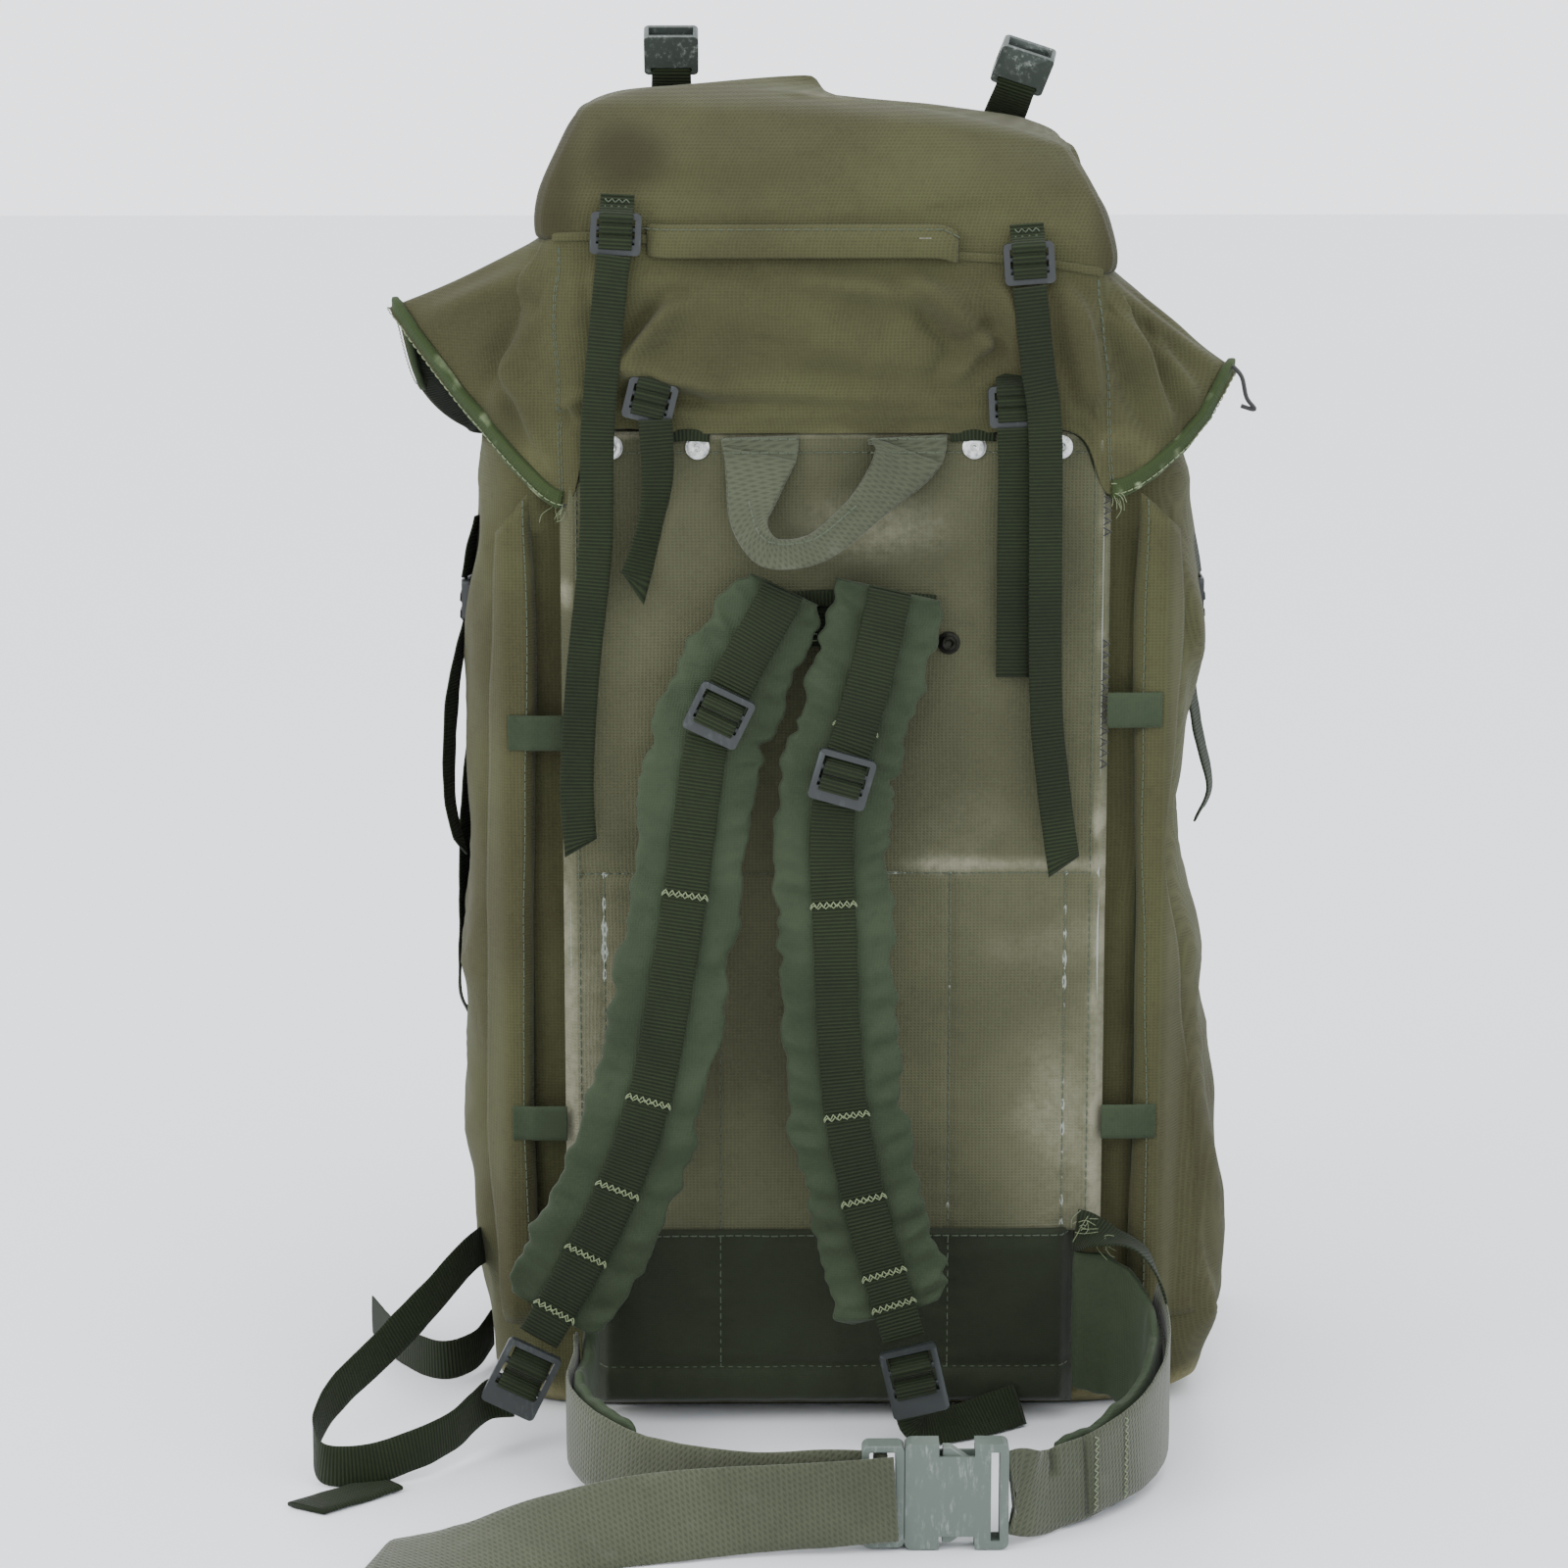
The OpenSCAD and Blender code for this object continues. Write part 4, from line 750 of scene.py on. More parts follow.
def zip_teeth(rows, out, pitch=3.2, half=2.2):
    """Interlocking teeth on both tapes of a zip, as small blocks set by turns."""
    parts = []
    for points in rows:
        for k, (p, ahead) in enumerate(walk(points, pitch / 2)):
            side = ahead.cross(Vector(out)).normalized() * (0.5 if k % 2 else -0.5)
            front = Vector(out)
            ring = lambda lift, g: [p + side * g * half * a + ahead * pitch * 0.26 * b + front * lift
                                    for a, b in ((-1, -1), (2.2, -1), (2.2, 1), (-1, 1))]
            parts.append(skin([ring(0, 1), ring(1.1, 1), ring(1.5, 0.8)], caps=True))
    return joined(parts)


def make_zips(sizes):
    tape, rows = [], []
    low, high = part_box("side_zips")
    for side in (-1, 1):
        x = side * (high.x / MM - 7)
        y = high.y / MM
        rings = [[(x + dx, y - dy, z) for dx, dy in
                  ((-7, 0.1), (-7, 0.8), (-2, 0.9), (2, 0.9), (7, 0.8), (7, 0.1))]
                 for z in range(round(low.z / MM), round(high.z / MM) + 1, 12)]
        tape.append(skin(rings, caps=True))
        rows.append([(x, y - 0.8, low.z / MM + 4), (x, y - 0.8, high.z / MM - 4)])
    piece("side_zip_tapes", joined(tape), "zip", stands_for=["side_zips"])
    piece("side_zip_teeth", zip_teeth(rows, BACK), "acetal")
    low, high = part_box("lid_zip")
    y = high.y / MM
    z = (low.z + high.z) / 2 / MM
    rings = [[(x, y - dy, z + dz) for dz, dy in
              ((-7, 0.1), (-7, 0.8), (-2, 0.9), (2, 0.9), (7, 0.8), (7, 0.1))]
             for x in range(round(low.x / MM), round(high.x / MM) + 1, 8)]
    piece("lid_zip_tape", skin(rings, caps=True), "zip", "lid", ["lid_zip"])
    piece("lid_zip_teeth",
          zip_teeth([[(low.x / MM + 3, y - 0.8, z), (high.x / MM - 3, y - 0.8, z)]], BACK),
          "acetal", "lid")


# ------------------------------------------------------------ back panel

QUILT_Z = 338
QUILT_X = (-136, -68, 68, 136)
RIVETS_X = (-130, -80, 80, 130)
RIVET_Z = 591


def panel_wave(x, z):
    """Relief of the back panel's face, in millimetres, below zero towards the sack."""
    wave = 0.7 * fold_noise((x, 0, z), 120, 5.2) + 0.35 * fold_noise((x * 1.3, 9, z), 46, 1.7)
    line = lambda d, w, h: -h * math.exp(-(d / w) ** 2)
    if x > -150:
        wave += line(z - QUILT_Z, 2.2, 1.4) + 0.5 * math.exp(-((z - QUILT_Z + 6) / 4) ** 2)
    if z < QUILT_Z:
        for at in QUILT_X:
            wave += line(x - at, 2.0, 1.3)
            near = math.exp(-((x - at) / 9) ** 2)
            wave += 0.35 * near * math.sin(z * 0.42 + at)
    for at in RIVETS_X:
        away = math.hypot(x - at, z - RIVET_Z)
        wave -= 1.0 * math.exp(-(away / 12) ** 2)
    for (ax, az), (bx, bz), w, h in (((-20, 560), (40, 500), 16, 1.2), ((-110, 520), (-60, 580), 14, 1.0),
                                     ((70, 560), (130, 500), 16, 1.3), ((100, 430), (150, 380), 14, 1.2),
                                     ((-150, 470), (-110, 420), 12, 1.0), ((90, 200), (150, 250), 16, 1.0)):
        away, _ = nearness((x, 0, z), (ax, 0, az), (bx, 0, bz))
        wave += h * math.exp(-(away / w) ** 2)
    edge = min(x - PANEL_LEFT, PANEL_RIGHT - x)
    wave -= 5.5 * (1 - ease(0, 7, edge)) + 1.2 * (1 - ease(0, 5, PANEL_TOP - z))
    hem = 0.6 * (1 - ease(8, 9.5, edge)) + 0.8 * (1 - ease(11, 12.5, PANEL_TOP - z))
    # the cloth stays in front of the foam behind it
    return max(wave + hem, -1.8 if edge > 4.5 else -9)


def panel_at(x, z, out=0.0):
    """The point of the back panel's face at x and z, raised by out."""
    return Vector((x, PANEL_FACE - panel_wave(x, z) - out, z))


def make_back_panel(sizes):
    """The back panel: quilted lines, rubbed edges, mends and tabs under the rivets."""
    wide, tall = 108, 160
    rings = []
    for i in range(tall + 1):
        z = PANEL_LOW + (PANEL_TOP - PANEL_LOW) * i / tall
        front = [panel_at(PANEL_LEFT + (PANEL_RIGHT - PANEL_LEFT) * j / wide, z) for j in range(wide + 1)]
        behind = [Vector((x, SACK_BACK - gap, z)) for x, gap in
                  ((PANEL_RIGHT, 0.5), (PANEL_RIGHT - 40, 0.3), (PANEL_LEFT + 40, 0.3))]
        rings.append([Vector((PANEL_LEFT, SACK_BACK - 0.5, z))] + front + behind)
    obj = piece("back_panel_canvas", skin(rings, caps=True), "panel",
                stands_for=["back_panel"])

    def rub(p):
        edge = min(p[0] - PANEL_LEFT, PANEL_RIGHT - p[0])
        worn = 0.5 * (1 - ease(2, 13, edge)) * (1.1 if p[0] > 0 else 0.7) * (0.5 + blotch(p, 26, 6))
        worn += 0.5 * (1 - ease(1, 6, PANEL_TOP - p[2]))
        worn += 0.22 * ease(60, 150, p[0]) * (1 - ease(180, 330, p[2]))
        worn += 0.35 * (1 - ease(150, 420, p[2])) * (1 - ease(-150, -60, p[0]))
        worn += 0.45 * math.exp(-((p[0] - 20) / 60) ** 2 - ((p[2] - 545) / 26) ** 2)
        worn += 0.4 * math.exp(-((p[2] - QUILT_Z - 5) / 5) ** 2) * ease(20, 60, p[0])
        worn += 0.12 * (1 - ease(300, 460, p[2])) * (1 - 0.6 * math.exp(-(p[0] / 50) ** 2))
        worn += 0.16 * blotch(p, 50, 3) * (1 - ease(420, 560, p[2]))
        for at in RIVETS_X:
            worn += 0.2 * math.exp(-(math.hypot(p[0] - at, p[2] - RIVET_Z) / 13) ** 4)
        return max(0.0, worn)

    wear(obj, rub)

    def soil_and_lid_shade(p):
        # painted shade under the lid: darker across the panel's top between its edges; the patch near x 60, z
        # 430 is real dirt
        shade_under_lid = 0.55 * ease(440, 540, p[2]) * (1 - ease(140, 156, abs(p[0])))
        return (shade_under_lid * (0.6 + 0.4 * blotch(p, 60, 5))
                + 0.3 * math.exp(-((p[0] - 60) / 60) ** 2 - ((p[2] - 430) / 60) ** 2))

    wear(obj, soil_and_lid_shade, "grime_and_shade")
    radius = sizes.thread / MM
    rows = []
    line = lambda ax, az, bx, bz: [tuple(panel_at(ax + (bx - ax) * t / 60, az + (bz - az) * t / 60, 0.1))
                                   for t in range(61)]
    rows.append(stitches(line(-150, QUILT_Z, 152, QUILT_Z), BACK, radius))
    for at in QUILT_X:
        rows.append(stitches(line(at, QUILT_Z - 2, at, PANEL_LOW + 2), BACK, radius))
    rows.append(stitches(line(-150, PANEL_TOP - 12, 150, PANEL_TOP - 12), BACK, radius))
    for at in (-150.5, 150.5):
        rows.append(stitches(line(at, PANEL_LOW + 3, at, PANEL_TOP - 14), BACK, radius))
    piece("back_panel_stitches", joined(rows), "dark_thread")
    mends = []
    for low, high, at in ((400, 478, 157), (538, 572, 157), (556, 566, -157)):
        mends.append(zigzag(panel_at(at, low, 0.4), panel_at(at, high, 0.4), BACK, 0.6, 3.2, 6))
    piece("mending_stitches", joined(mends), "black_thread")
    tabs = []
    for at in (-86, 79):
        route = smooth([(at - 13, PANEL_FACE - 1.6, 597.5, 0, -1, 0, 7),
                        (at, PANEL_FACE - 3.2, 598.5, 0, -1, 0, 7),
                        (at + 13, PANEL_FACE - 1.8, 597.8, 0, -1, 0, 7)], 6)
        tabs.append(band(route, 1.6, ripple=0.5, seed=at))
    piece("rivet_tabs", joined(tabs), "webbing")


def make_rivets(sizes):
    """Tubular rivets with rolled heads; the shanks and tails are the frame's own node."""
    heads = []
    low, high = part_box("frame_rivets")
    half = (high.z - low.z) / 2 / MM
    for x in (low.x / MM + half, -80, 80, high.x / MM - half):
        z = (low.z + high.z) / 2 / MM
        rings = []
        for r, y in ((7.0, 0.1), (7.05, 0.7), (6.5, 1.25), (4.6, 1.75), (2.8, 1.9), (2.2, 1.6),
                     (1.7, 0.9), (1.5, 0.2)):
            rings.append([(x + r * math.cos(a * math.pi / 16), PANEL_FACE - y,
                           z + r * math.sin(a * math.pi / 16)) for a in range(32)])
        heads.append(skin(rings, caps=True))
    piece("rivet_heads", joined(heads), "rivet")


def make_snap(sizes):
    """The turned socket of the press stud on the back panel."""
    low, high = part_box("panel_snap")
    x, z = (low.x + high.x) / 2 / MM, (low.z + high.z) / 2 / MM
    rings = []
    for r, y in ((6.6, 0.0), (6.6, 0.9), (6.0, 1.4), (4.6, 1.5), (4.4, 2.8), (3.8, 3.2), (2.4, 3.2),
                 (2.1, 2.4), (1.0, 2.3)):
        rings.append([(x + r * math.cos(a * math.pi / 14), PANEL_FACE - y,
                       z + r * math.sin(a * math.pi / 14)) for a in range(28)])
    piece("snap_socket", skin(rings, caps=True), "brass", stands_for=["panel_snap"])


def make_lumbar(sizes):
    """Quilted lumbar pad: three swollen channels between stitched lines, and a bound lower edge."""
    low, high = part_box("lumbar_pad")
    left, right = low.x / MM - 6, high.x / MM + 6
    bottom, top = low.z / MM, high.z / MM + 2
    face = low.y / MM
    band_z = bottom + 26

    def at(x, z):
        edge = min(x - left, right - x, (z - bottom) * 1.2)
        puff = 0.0
        for a, b in ((left, -68), (-68, 68), (68, right)):
            if a <= x <= b:
                puff = 3.2 * math.sin(math.pi * (x - a) / (b - a)) ** 0.6
        if z < band_z:
            puff = 4.2 * math.sin(math.pi * max(0.0, z - bottom) / (band_z - bottom)) ** 0.5
            puff += 0.5 * math.sin(x * 0.3) * math.sin(math.pi * (z - bottom) / (band_z - bottom))
        else:
            puff *= ease(0, 10, z - band_z) * (0.35 + 0.65 * ease(0, 14, top - z))
        for line in (-68, 68):
            puff += 0.45 * math.exp(-((x - line) / 10) ** 2) * math.sin(z * 0.5)
        puff += 0.9 * fold_noise((x, 3, z), 38, 6.0)
        return Vector((x, face + 3 - puff + 11 * (1 - ease(0, 9, edge)), z))

    wide, tall = 96, 46
    rings = []
    for i in range(tall + 1):
        z = bottom + (top - bottom) * i / tall
        ring = [Vector((left, -127, z))] + [at(left + (right - left) * j / wide, z) for j in range(wide + 1)]
        ring += [Vector((right, -127, z)), Vector((0, -126, z))]
        rings.append(ring)
    obj = piece("lumbar_pad_quilted", skin(rings, caps=True), "lumbar",
                stands_for=["lumbar_pad"])
    radius = sizes.thread / MM
    rows = [stitches([tuple(at(x, z) + Vector((0, -0.1, 0))) for z in range(round(band_z), round(top), 2)],
                     BACK, radius) for x in (-68, 68)]
    for level in (band_z, top - 3):
        rows.append(stitches([tuple(at(x, level)) for x in range(round(left) + 4, round(right) - 3, 2)],
                             BACK, radius))
    piece("lumbar_stitches", joined(rows), "dark_thread")
    yoke = band(smooth([(-58, PANEL_FACE - 2.0, 500, 0, -1, 0, 9), (0, PANEL_FACE - 2.4, 503, 0, -1, 0, 9),
                        (58, PANEL_FACE - 2.0, 500, 0, -1, 0, 9)], 8), 2.0, ripple=0.5)
    tab = [[(x, PANEL_FACE - 1.6 - 0.7 * math.sin(z / 9) - 0.3 * math.cos(x / 3), z)
            for x in (-15, -11, -6, 0, 6, 11, 15)] for z in range(474, 509, 3)]
    piece("strap_yoke_patch", joined([yoke, skin(tab, closed=False)]), "webbing",
          stands_for=["strap_yoke"], solid=0.8 * MM)
    rows = [stitches([(x, PANEL_FACE - 2.6, z) for x in (-13, 13)], BACK, radius) for z in (478, 482)]
    piece("yoke_stitches", joined(rows), "thread")


# ------------------------------------------------------------ lid

# Stations round the hood: its seam at the pocket, its lower edge, and how far it billows
HOOD = [
    ((-8, -141, 705), (0, -140.5, 599), 3), ((-80, -141, 709), (-80, -140.5, 599), 3),
    ((-132, -141, 712), (-138, -140, 599), 3), ((-158, -140, 712), (-158, -135, 556), 0),
    ((-165, -134, 711), (-208, -117, 601), 3), ((-168, -122, 710), (-256, -96, 661), 2),
    ((-168, -90, 709), (-257, -58, 656), 6), ((-166, -20, 708), (-250, 10, 608), 9),
    ((-160, 70, 706), (-230, 100, 572), 9), ((-126, 112, 704), (-198, 132, 562), 8),
    ((0, 117, 700), (0, 137, 560), 8), ((124, 112, 694), (196, 132, 565), 8),
    ((152, 70, 692), (216, 100, 582), 9), ((156, -20, 691), (230, 10, 606), 9),
    ((158, -90, 690), (236, -58, 622), 6), ((157, -122, 690), (233, -100, 627), 3),
    ((154, -134, 691), (205, -117, 588), 4), ((149, -140, 692), (160, -135, 562), 0),
    ((124, -141, 696), (138, -140, 599), 4), ((70, -141, 701), (76, -140.5, 599), 4),
]
HOOD_FOLDS = [
    ((-92, -143, 672), (-132, -143, 628), 6, 9), ((-136, -143, 700), (-126, -143, 640), 5, 5),
    ((-126, -143, 640), (-60, -143, 622), 6, 8), ((-70, -143, 626), (60, -143, 617), 7, 5),
    ((-150, -141, 616), (-112, -143, 634), 5, 8), ((-30, -143, 694), (62, -143, 676), 8, 4),
    ((44, -143, 690), (80, -143, 652), 6, 9), ((84, -143, 654), (66, -143, 632), 5, 7),
    ((92, -143, 684), (104, -143, 640), 5, 6), ((128, -143, 690), (146, -140, 622), 6, 7),
    ((-124, -143, 611), (130, -143, 607), 6, 5), ((-20, -143, 652), (40, -143, 640), 12, 3),
    ((-176, -130, 690), (-236, -105, 662), 8, 5), ((-172, -130, 664), (-196, -122, 612), 7, 6),
    ((-186, -128, 640), (-170, -133, 590), 6, 5), ((168, -133, 682), (222, -110, 640), 8, 6),
    ((164, -134, 660), (192, -122, 604), 7, 7), ((188, -126, 650), (212, -114, 606), 6, 5),
]


HOOD_STEPS = 14


def hood_rings():
    """Rows of points over the hood, from the seam down to its free edge."""
    stations = smooth([tuple(a) + tuple(b) + (c,) for a, b, c in HOOD], HOOD_STEPS, True)
    rings = []
    rows = 44
    for i in range(rows + 1):
        v = i / rows
        ring = []
        for s in stations:
            top, edge, billow = Vector(s[:3]), Vector(s[3:6]), s[6]
            p = top.lerp(edge, v)
            out = Vector((p.x, p.y * 1.1, 0)).normalized()
            p += out * billow * math.sin(math.pi * min(1, v * 1.1)) - UP * 3 * math.sin(math.pi * v)
            rise = 1.5 * creases(p, HOOD_FOLDS) * math.sin(math.pi * min(1, 0.12 + v * 0.8))
            rise += fold_noise(p, 60, 4.4) * 1.6 * math.sin(math.pi * v)
            if p.y < -130:
                tails = math.exp(-((p.x + 133) / 13) ** 2) + math.exp(-((p.x - 115) / 13) ** 2)
                rise *= 1 - 0.8 * min(1, tails)
                rise += 3.5 * ease(0.08, 0.22, v) * (1 - ease(0.25, 0.55, v))
                rise *= ease(0.0, 0.16, v)
            p += out * max(-4.5, min(11, rise))
            ring.append(p)
        rings.append(ring)
    return rings


def make_hood(sizes):
    """The lid's hood with its lining, bound wings and frayed threads."""
    rings = hood_rings()
    obj = piece("hood_canvas", skin(rings), "canvas", body=None,
                stands_for=["lid_hood", "hood_gussets"], solid=sizes.canvas, rounds=1)
    wear(obj, lambda p: 0.16 * (1 - ease(596, 612, p[2])) + 0.12 * blotch(p, 30, 4))
    # painted shade: these grime_and_shade values darken the hood's wings and, in patches, its lower part
    wear(obj, lambda p: 0.5 * ease(150, 190, abs(p[0])) * blotch(p, 60, 1)
         + 0.35 * blotch(p, 45, 6) * (1 - ease(600, 680, p[2])), "grime_and_shade")
    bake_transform(obj)
    # the dark proofed inside, a hair within the canvas
    inner = [[p - Vector((p.x, p.y, 0)).normalized() * 1.6 - UP * 0.3 for p in ring] for ring in rings]
    lining = piece("hood_lining", skin(inner), "lining", body=None, solid=0.4 * MM, rounds=1)
    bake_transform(lining)
    per = HOOD_STEPS
    radius = sizes.thread / MM
    tapes, rows = [], []
    for first, last, seed in ((3, 7, 1.0), (13, 17, 5.0)):
        line = [rings[-1][k] for k in range(first * per, last * per + 1)]
        above = [rings[-4][k] for k in range(first * per, last * per + 1)]
        route = []
        for k, (p, q) in enumerate(zip(line, above)):
            out = Vector((p.x, p.y * 1.1, 0)).normalized()
            up = (q - p).normalized()
            mid = p + up * 4.2
            route.append(tuple(mid) + tuple(out) + (11,))
        tapes.append(band(route, 4.4, ripple=1.1, seed=seed))
        for lift in (1.6, 7.4):
            edge = [tuple(p + (q - p).normalized() * lift + Vector((p.x, p.y * 1.1, 0)).normalized() * 2.3)
                    for p, q in zip(line, above)]
            middle = edge[len(edge) // 2]
            rows.append(stitches(edge, (middle[0], middle[1], 0), radius, 3.4, 4.4))
    tape = piece("hood_binding_tape", joined(tapes), "binding", body=None,
                 stands_for=["lid_binding"])
    wear(tape, lambda p: 0.35 * blotch(p, 12) + 0.55 * (1 - ease(568, 592, p[2])) * blotch(p, 9, 3))
    sewn = piece("hood_binding_stitches", joined(rows), "thread", body=None)
    for o in (tape, sewn):
        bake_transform(o)
    ends = joined([fray(rings[-1][k * per], (side, -0.6, -0.8), 9, 11, radius * 0.6, k * 1.3)
                   for k, side in ((3, -0.4), (17, 0.4))])
    loose = piece("hood_binding_frays", ends, "thread", body=None)
    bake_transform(loose)
    tip = rings[-1][15 * per]
    piece("wing_tip_cord", tube(smooth([tuple(tip + Vector(v)) for v in (
        (0, -1, 6), (5, -3, 0), (8, -3, -12), (13, -2, -19), (5, -2, -17))], 6), 1.3, 8),
        "cord", "lid")
    seams = []
    for k in (3, 17):
        for off in (-0.35, 0.35):
            column = k * per
            run = []
            for i in range(2, len(rings) - 2):
                p = rings[i][column].lerp(rings[i][column + (1 if off > 0 else -1)], abs(off))
                run.append(tuple(p + Vector((p.x, p.y, 0)).normalized() * 0.9))
            seams.append(stitches(run, (run[5][0] * 0.4, -1, 0), radius * 0.8))
    seam = piece("hood_seam_stitches", joined(seams), "dark_thread", body=None)
    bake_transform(seam)


POCKET_PROFILE = [(0.0, 1.0, 1.0, 0), (0.08, 1.03, 1.0, 3), (0.22, 1.03, 0.98, 16), (0.4, 1.0, 0.92, 34),
                  (0.56, 0.95, 0.84, 52), (0.68, 0.9, 0.74, 66), (0.76, 0.85, 0.66, 74),
                  (0.84, 0.7, 0.5, 79), (0.92, 0.4, 0.3, 80), (1.0, 0.03, 0.02, 80)]
POCKET_FOLDS = [
    ((-120, -110, 745), (-30, -120, 755), 16, 3), ((20, -120, 725), (120, -110, 735), 15, 3),
    ((-150, -90, 735), (-140, -60, 778), 6, 4), ((140, -90, 722), (138, -60, 762), 6, 4),
    ((-90, -130, 722), (-20, -130, 730), 12, 2.4), ((60, -90, 760), (120, -80, 750), 10, 2.5),
    ((-140, -60, 776), (-20, -60, 787), 7, 2.5), ((-20, -60, 787), (140, -60, 766), 7, 2.5),
]


def make_lid_pocket(sizes):
    """The domed pocket on the hood, with its welt over the zip."""
    seam = smooth([tuple(a) for a, _, _ in HOOD], 8, True)
    centre = Vector((-4, -14, 0))
    rings = []
    for step in smooth(POCKET_PROFILE, 5):
        _, wide, deep, rise = step
        ring = []
        for s in seam:
            tilt = (s[0] + 170) / 340
            x = centre.x + (s[0] - centre.x) * wide
            y = centre.y + (s[1] - centre.y) * deep + (14 if deep < 0.95 else 0) * (1 - deep)
            crown = 4 * (1 - (x / 150) ** 2) * ease(50, 80, rise)
            p = Vector((x, y, s[2] + rise * (1 - 0.05 * tilt) + crown - 0.5))
            out = Vector((p.x, p.y - centre.y, 30 if rise > 60 else 5)).normalized()
            lift = creases(p, POCKET_FOLDS) + 1.2 * fold_noise(p, 70, 2.2) * ease(0, 14, rise)
            ring.append(p + out * lift)
        rings.append(ring)
    top = piece("lid_pocket_canvas", skin(rings, caps=True), "canvas", "lid",
                ["lid_pocket"], rounds=1)

    # the stain is real; the pocket is also darker towards its left and right ends, and in soft patches
    def grime_and_shade(p):
        stain = 0.9 * math.exp(-(math.hypot(p[0] + 120, (p[2] - 757) * 1.3) / 24) ** 4)
        return stain + 0.75 * ease(142, 158, abs(p[0])) + 0.3 * blotch(p, 60, 2)

    wear(top, lambda p: 0.14 * blotch(p, 40, 9) + 0.12 * ease(770, 790, p[2]))
    wear(top, grime_and_shade, "grime_and_shade")
    # welt that covers the zip, with its edge stitching, and the seam's corded line
    welt, rows = [], []
    line = [Vector(s) for s in seam]
    back = sorted([p for p in line if p.y < -138], key=lambda p: p.x)
    route = [tuple(p + Vector((0, -0.8, 0.5))) + (0, -1, 0.1, 4) for p in back]
    welt.append(band(route, 1.2, ripple=0.3))
    # the welt hangs over the teeth and the slider's pull, and lies flat past the zip's ends
    drops = ((10, 0.1), (7, 1.6), (3, 5.4), (-2, 7.0), (-6, 7.4), (-9, 7.5))
    level = (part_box("lid_zip")[0].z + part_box("lid_zip")[1].z) / 2 / MM
    rings = []
    for p in [q for q in back if -112 < q.x < 78]:
        over = ease(-112, -96, p.x) * (1 - ease(62, 78, p.x))
        middle = p.z + (level - p.z) * over
        rings.append([Vector((p.x, p.y - 1.4 - dy * over + 0.5 * noise.noise(p / 20), middle + dz))
                      for dz, dy in drops])
    welt.append(skin(rings, closed=False))
    piece("zip_welt", joined(welt), "canvas", "lid", solid=1.2 * MM, rounds=1)
    radius = sizes.thread / MM
    rows.append(stitches([tuple(r[1] + Vector((0, -1.0, 0))) for r in rings], BACK, radius * 0.9))
    piece("pocket_stitches", joined(rows), "dark_thread", "lid")


TAILS = [
    [(-127, 14.8, 703, 0), (-130, 15.5, 678, 0), (-137, 15.5, 605, 0.05), (-139, 13, 534, 0.1),
     (-147, 13, 460, 0.14), (-151, 13.5, 396, 0.04), (-149, 14, 357, 0)],
    [(110, 14.8, 685, 0), (115, 17, 640, 0.05), (120, 17.5, 595, 0), (122, 13, 453, 0.12),
     (127, 13, 395, 0.08), (134, 14, 345, 0)],
    [(-104, 14.8, 609, 0), (-103, 13, 575, 0.4), (-108, 12, 545, 0.9), (-118, 13, 511, 0.3)],
    [(102, 14.8, 604, 0), (103, 10, 575, 0), (103, 8, 500, 0.05), (103, 8, 457, 0)],
]
TAIL_CUTS = (5, 5, -8, 0)
LID_LOCKS = [(-126, -147.5, 715, 3), (110, -147.5, 698, -4), (-107, -147.5, 619, 14),
             (102, -147.5, 616, -3)]


def turned(lean, x, y, z):
    """A point turned about Y by lean degrees."""
    a = math.radians(lean)
    return Vector((x * math.cos(a) + z * math.sin(a), y, -x * math.sin(a) + z * math.cos(a)))


def threaded(at, lean, width, length, thick):
    """Webbing woven over the two bars of a ladder-lock, from behind it to its lower end."""
    window = length * 0.6
    middle = length / 2 - 3.5 - window / 2
    top, low = middle + 0.1 * window, middle - 0.35 * window
    path = [(1.2, top + window * 0.42), (-0.4, top + 4.2), (-3.2, top + 1.6), (-3.5, top - 0.6),
            (-2.2, top - 2.6), (0.6, (top + low) / 2), (-1.4, low + 2.8), (-3.3, low + 1.2),
            (-3.6, low - 1.2), (-3.3, low - 5)]
    path = smooth(path, 4)
    stations = []
    for i, (y, z) in enumerate(path):
        a, b = path[max(i - 1, 0)], path[min(i + 1, len(path) - 1)]
        dy, dz = b[0] - a[0], b[1] - a[1]
        p = Vector(at) + turned(lean, 0, y, z)
        out = turned(lean, 0, dz, -dy)
        stations.append(tuple(p) + tuple(out.normalized()) + (width,))
    return band(stations, thick)


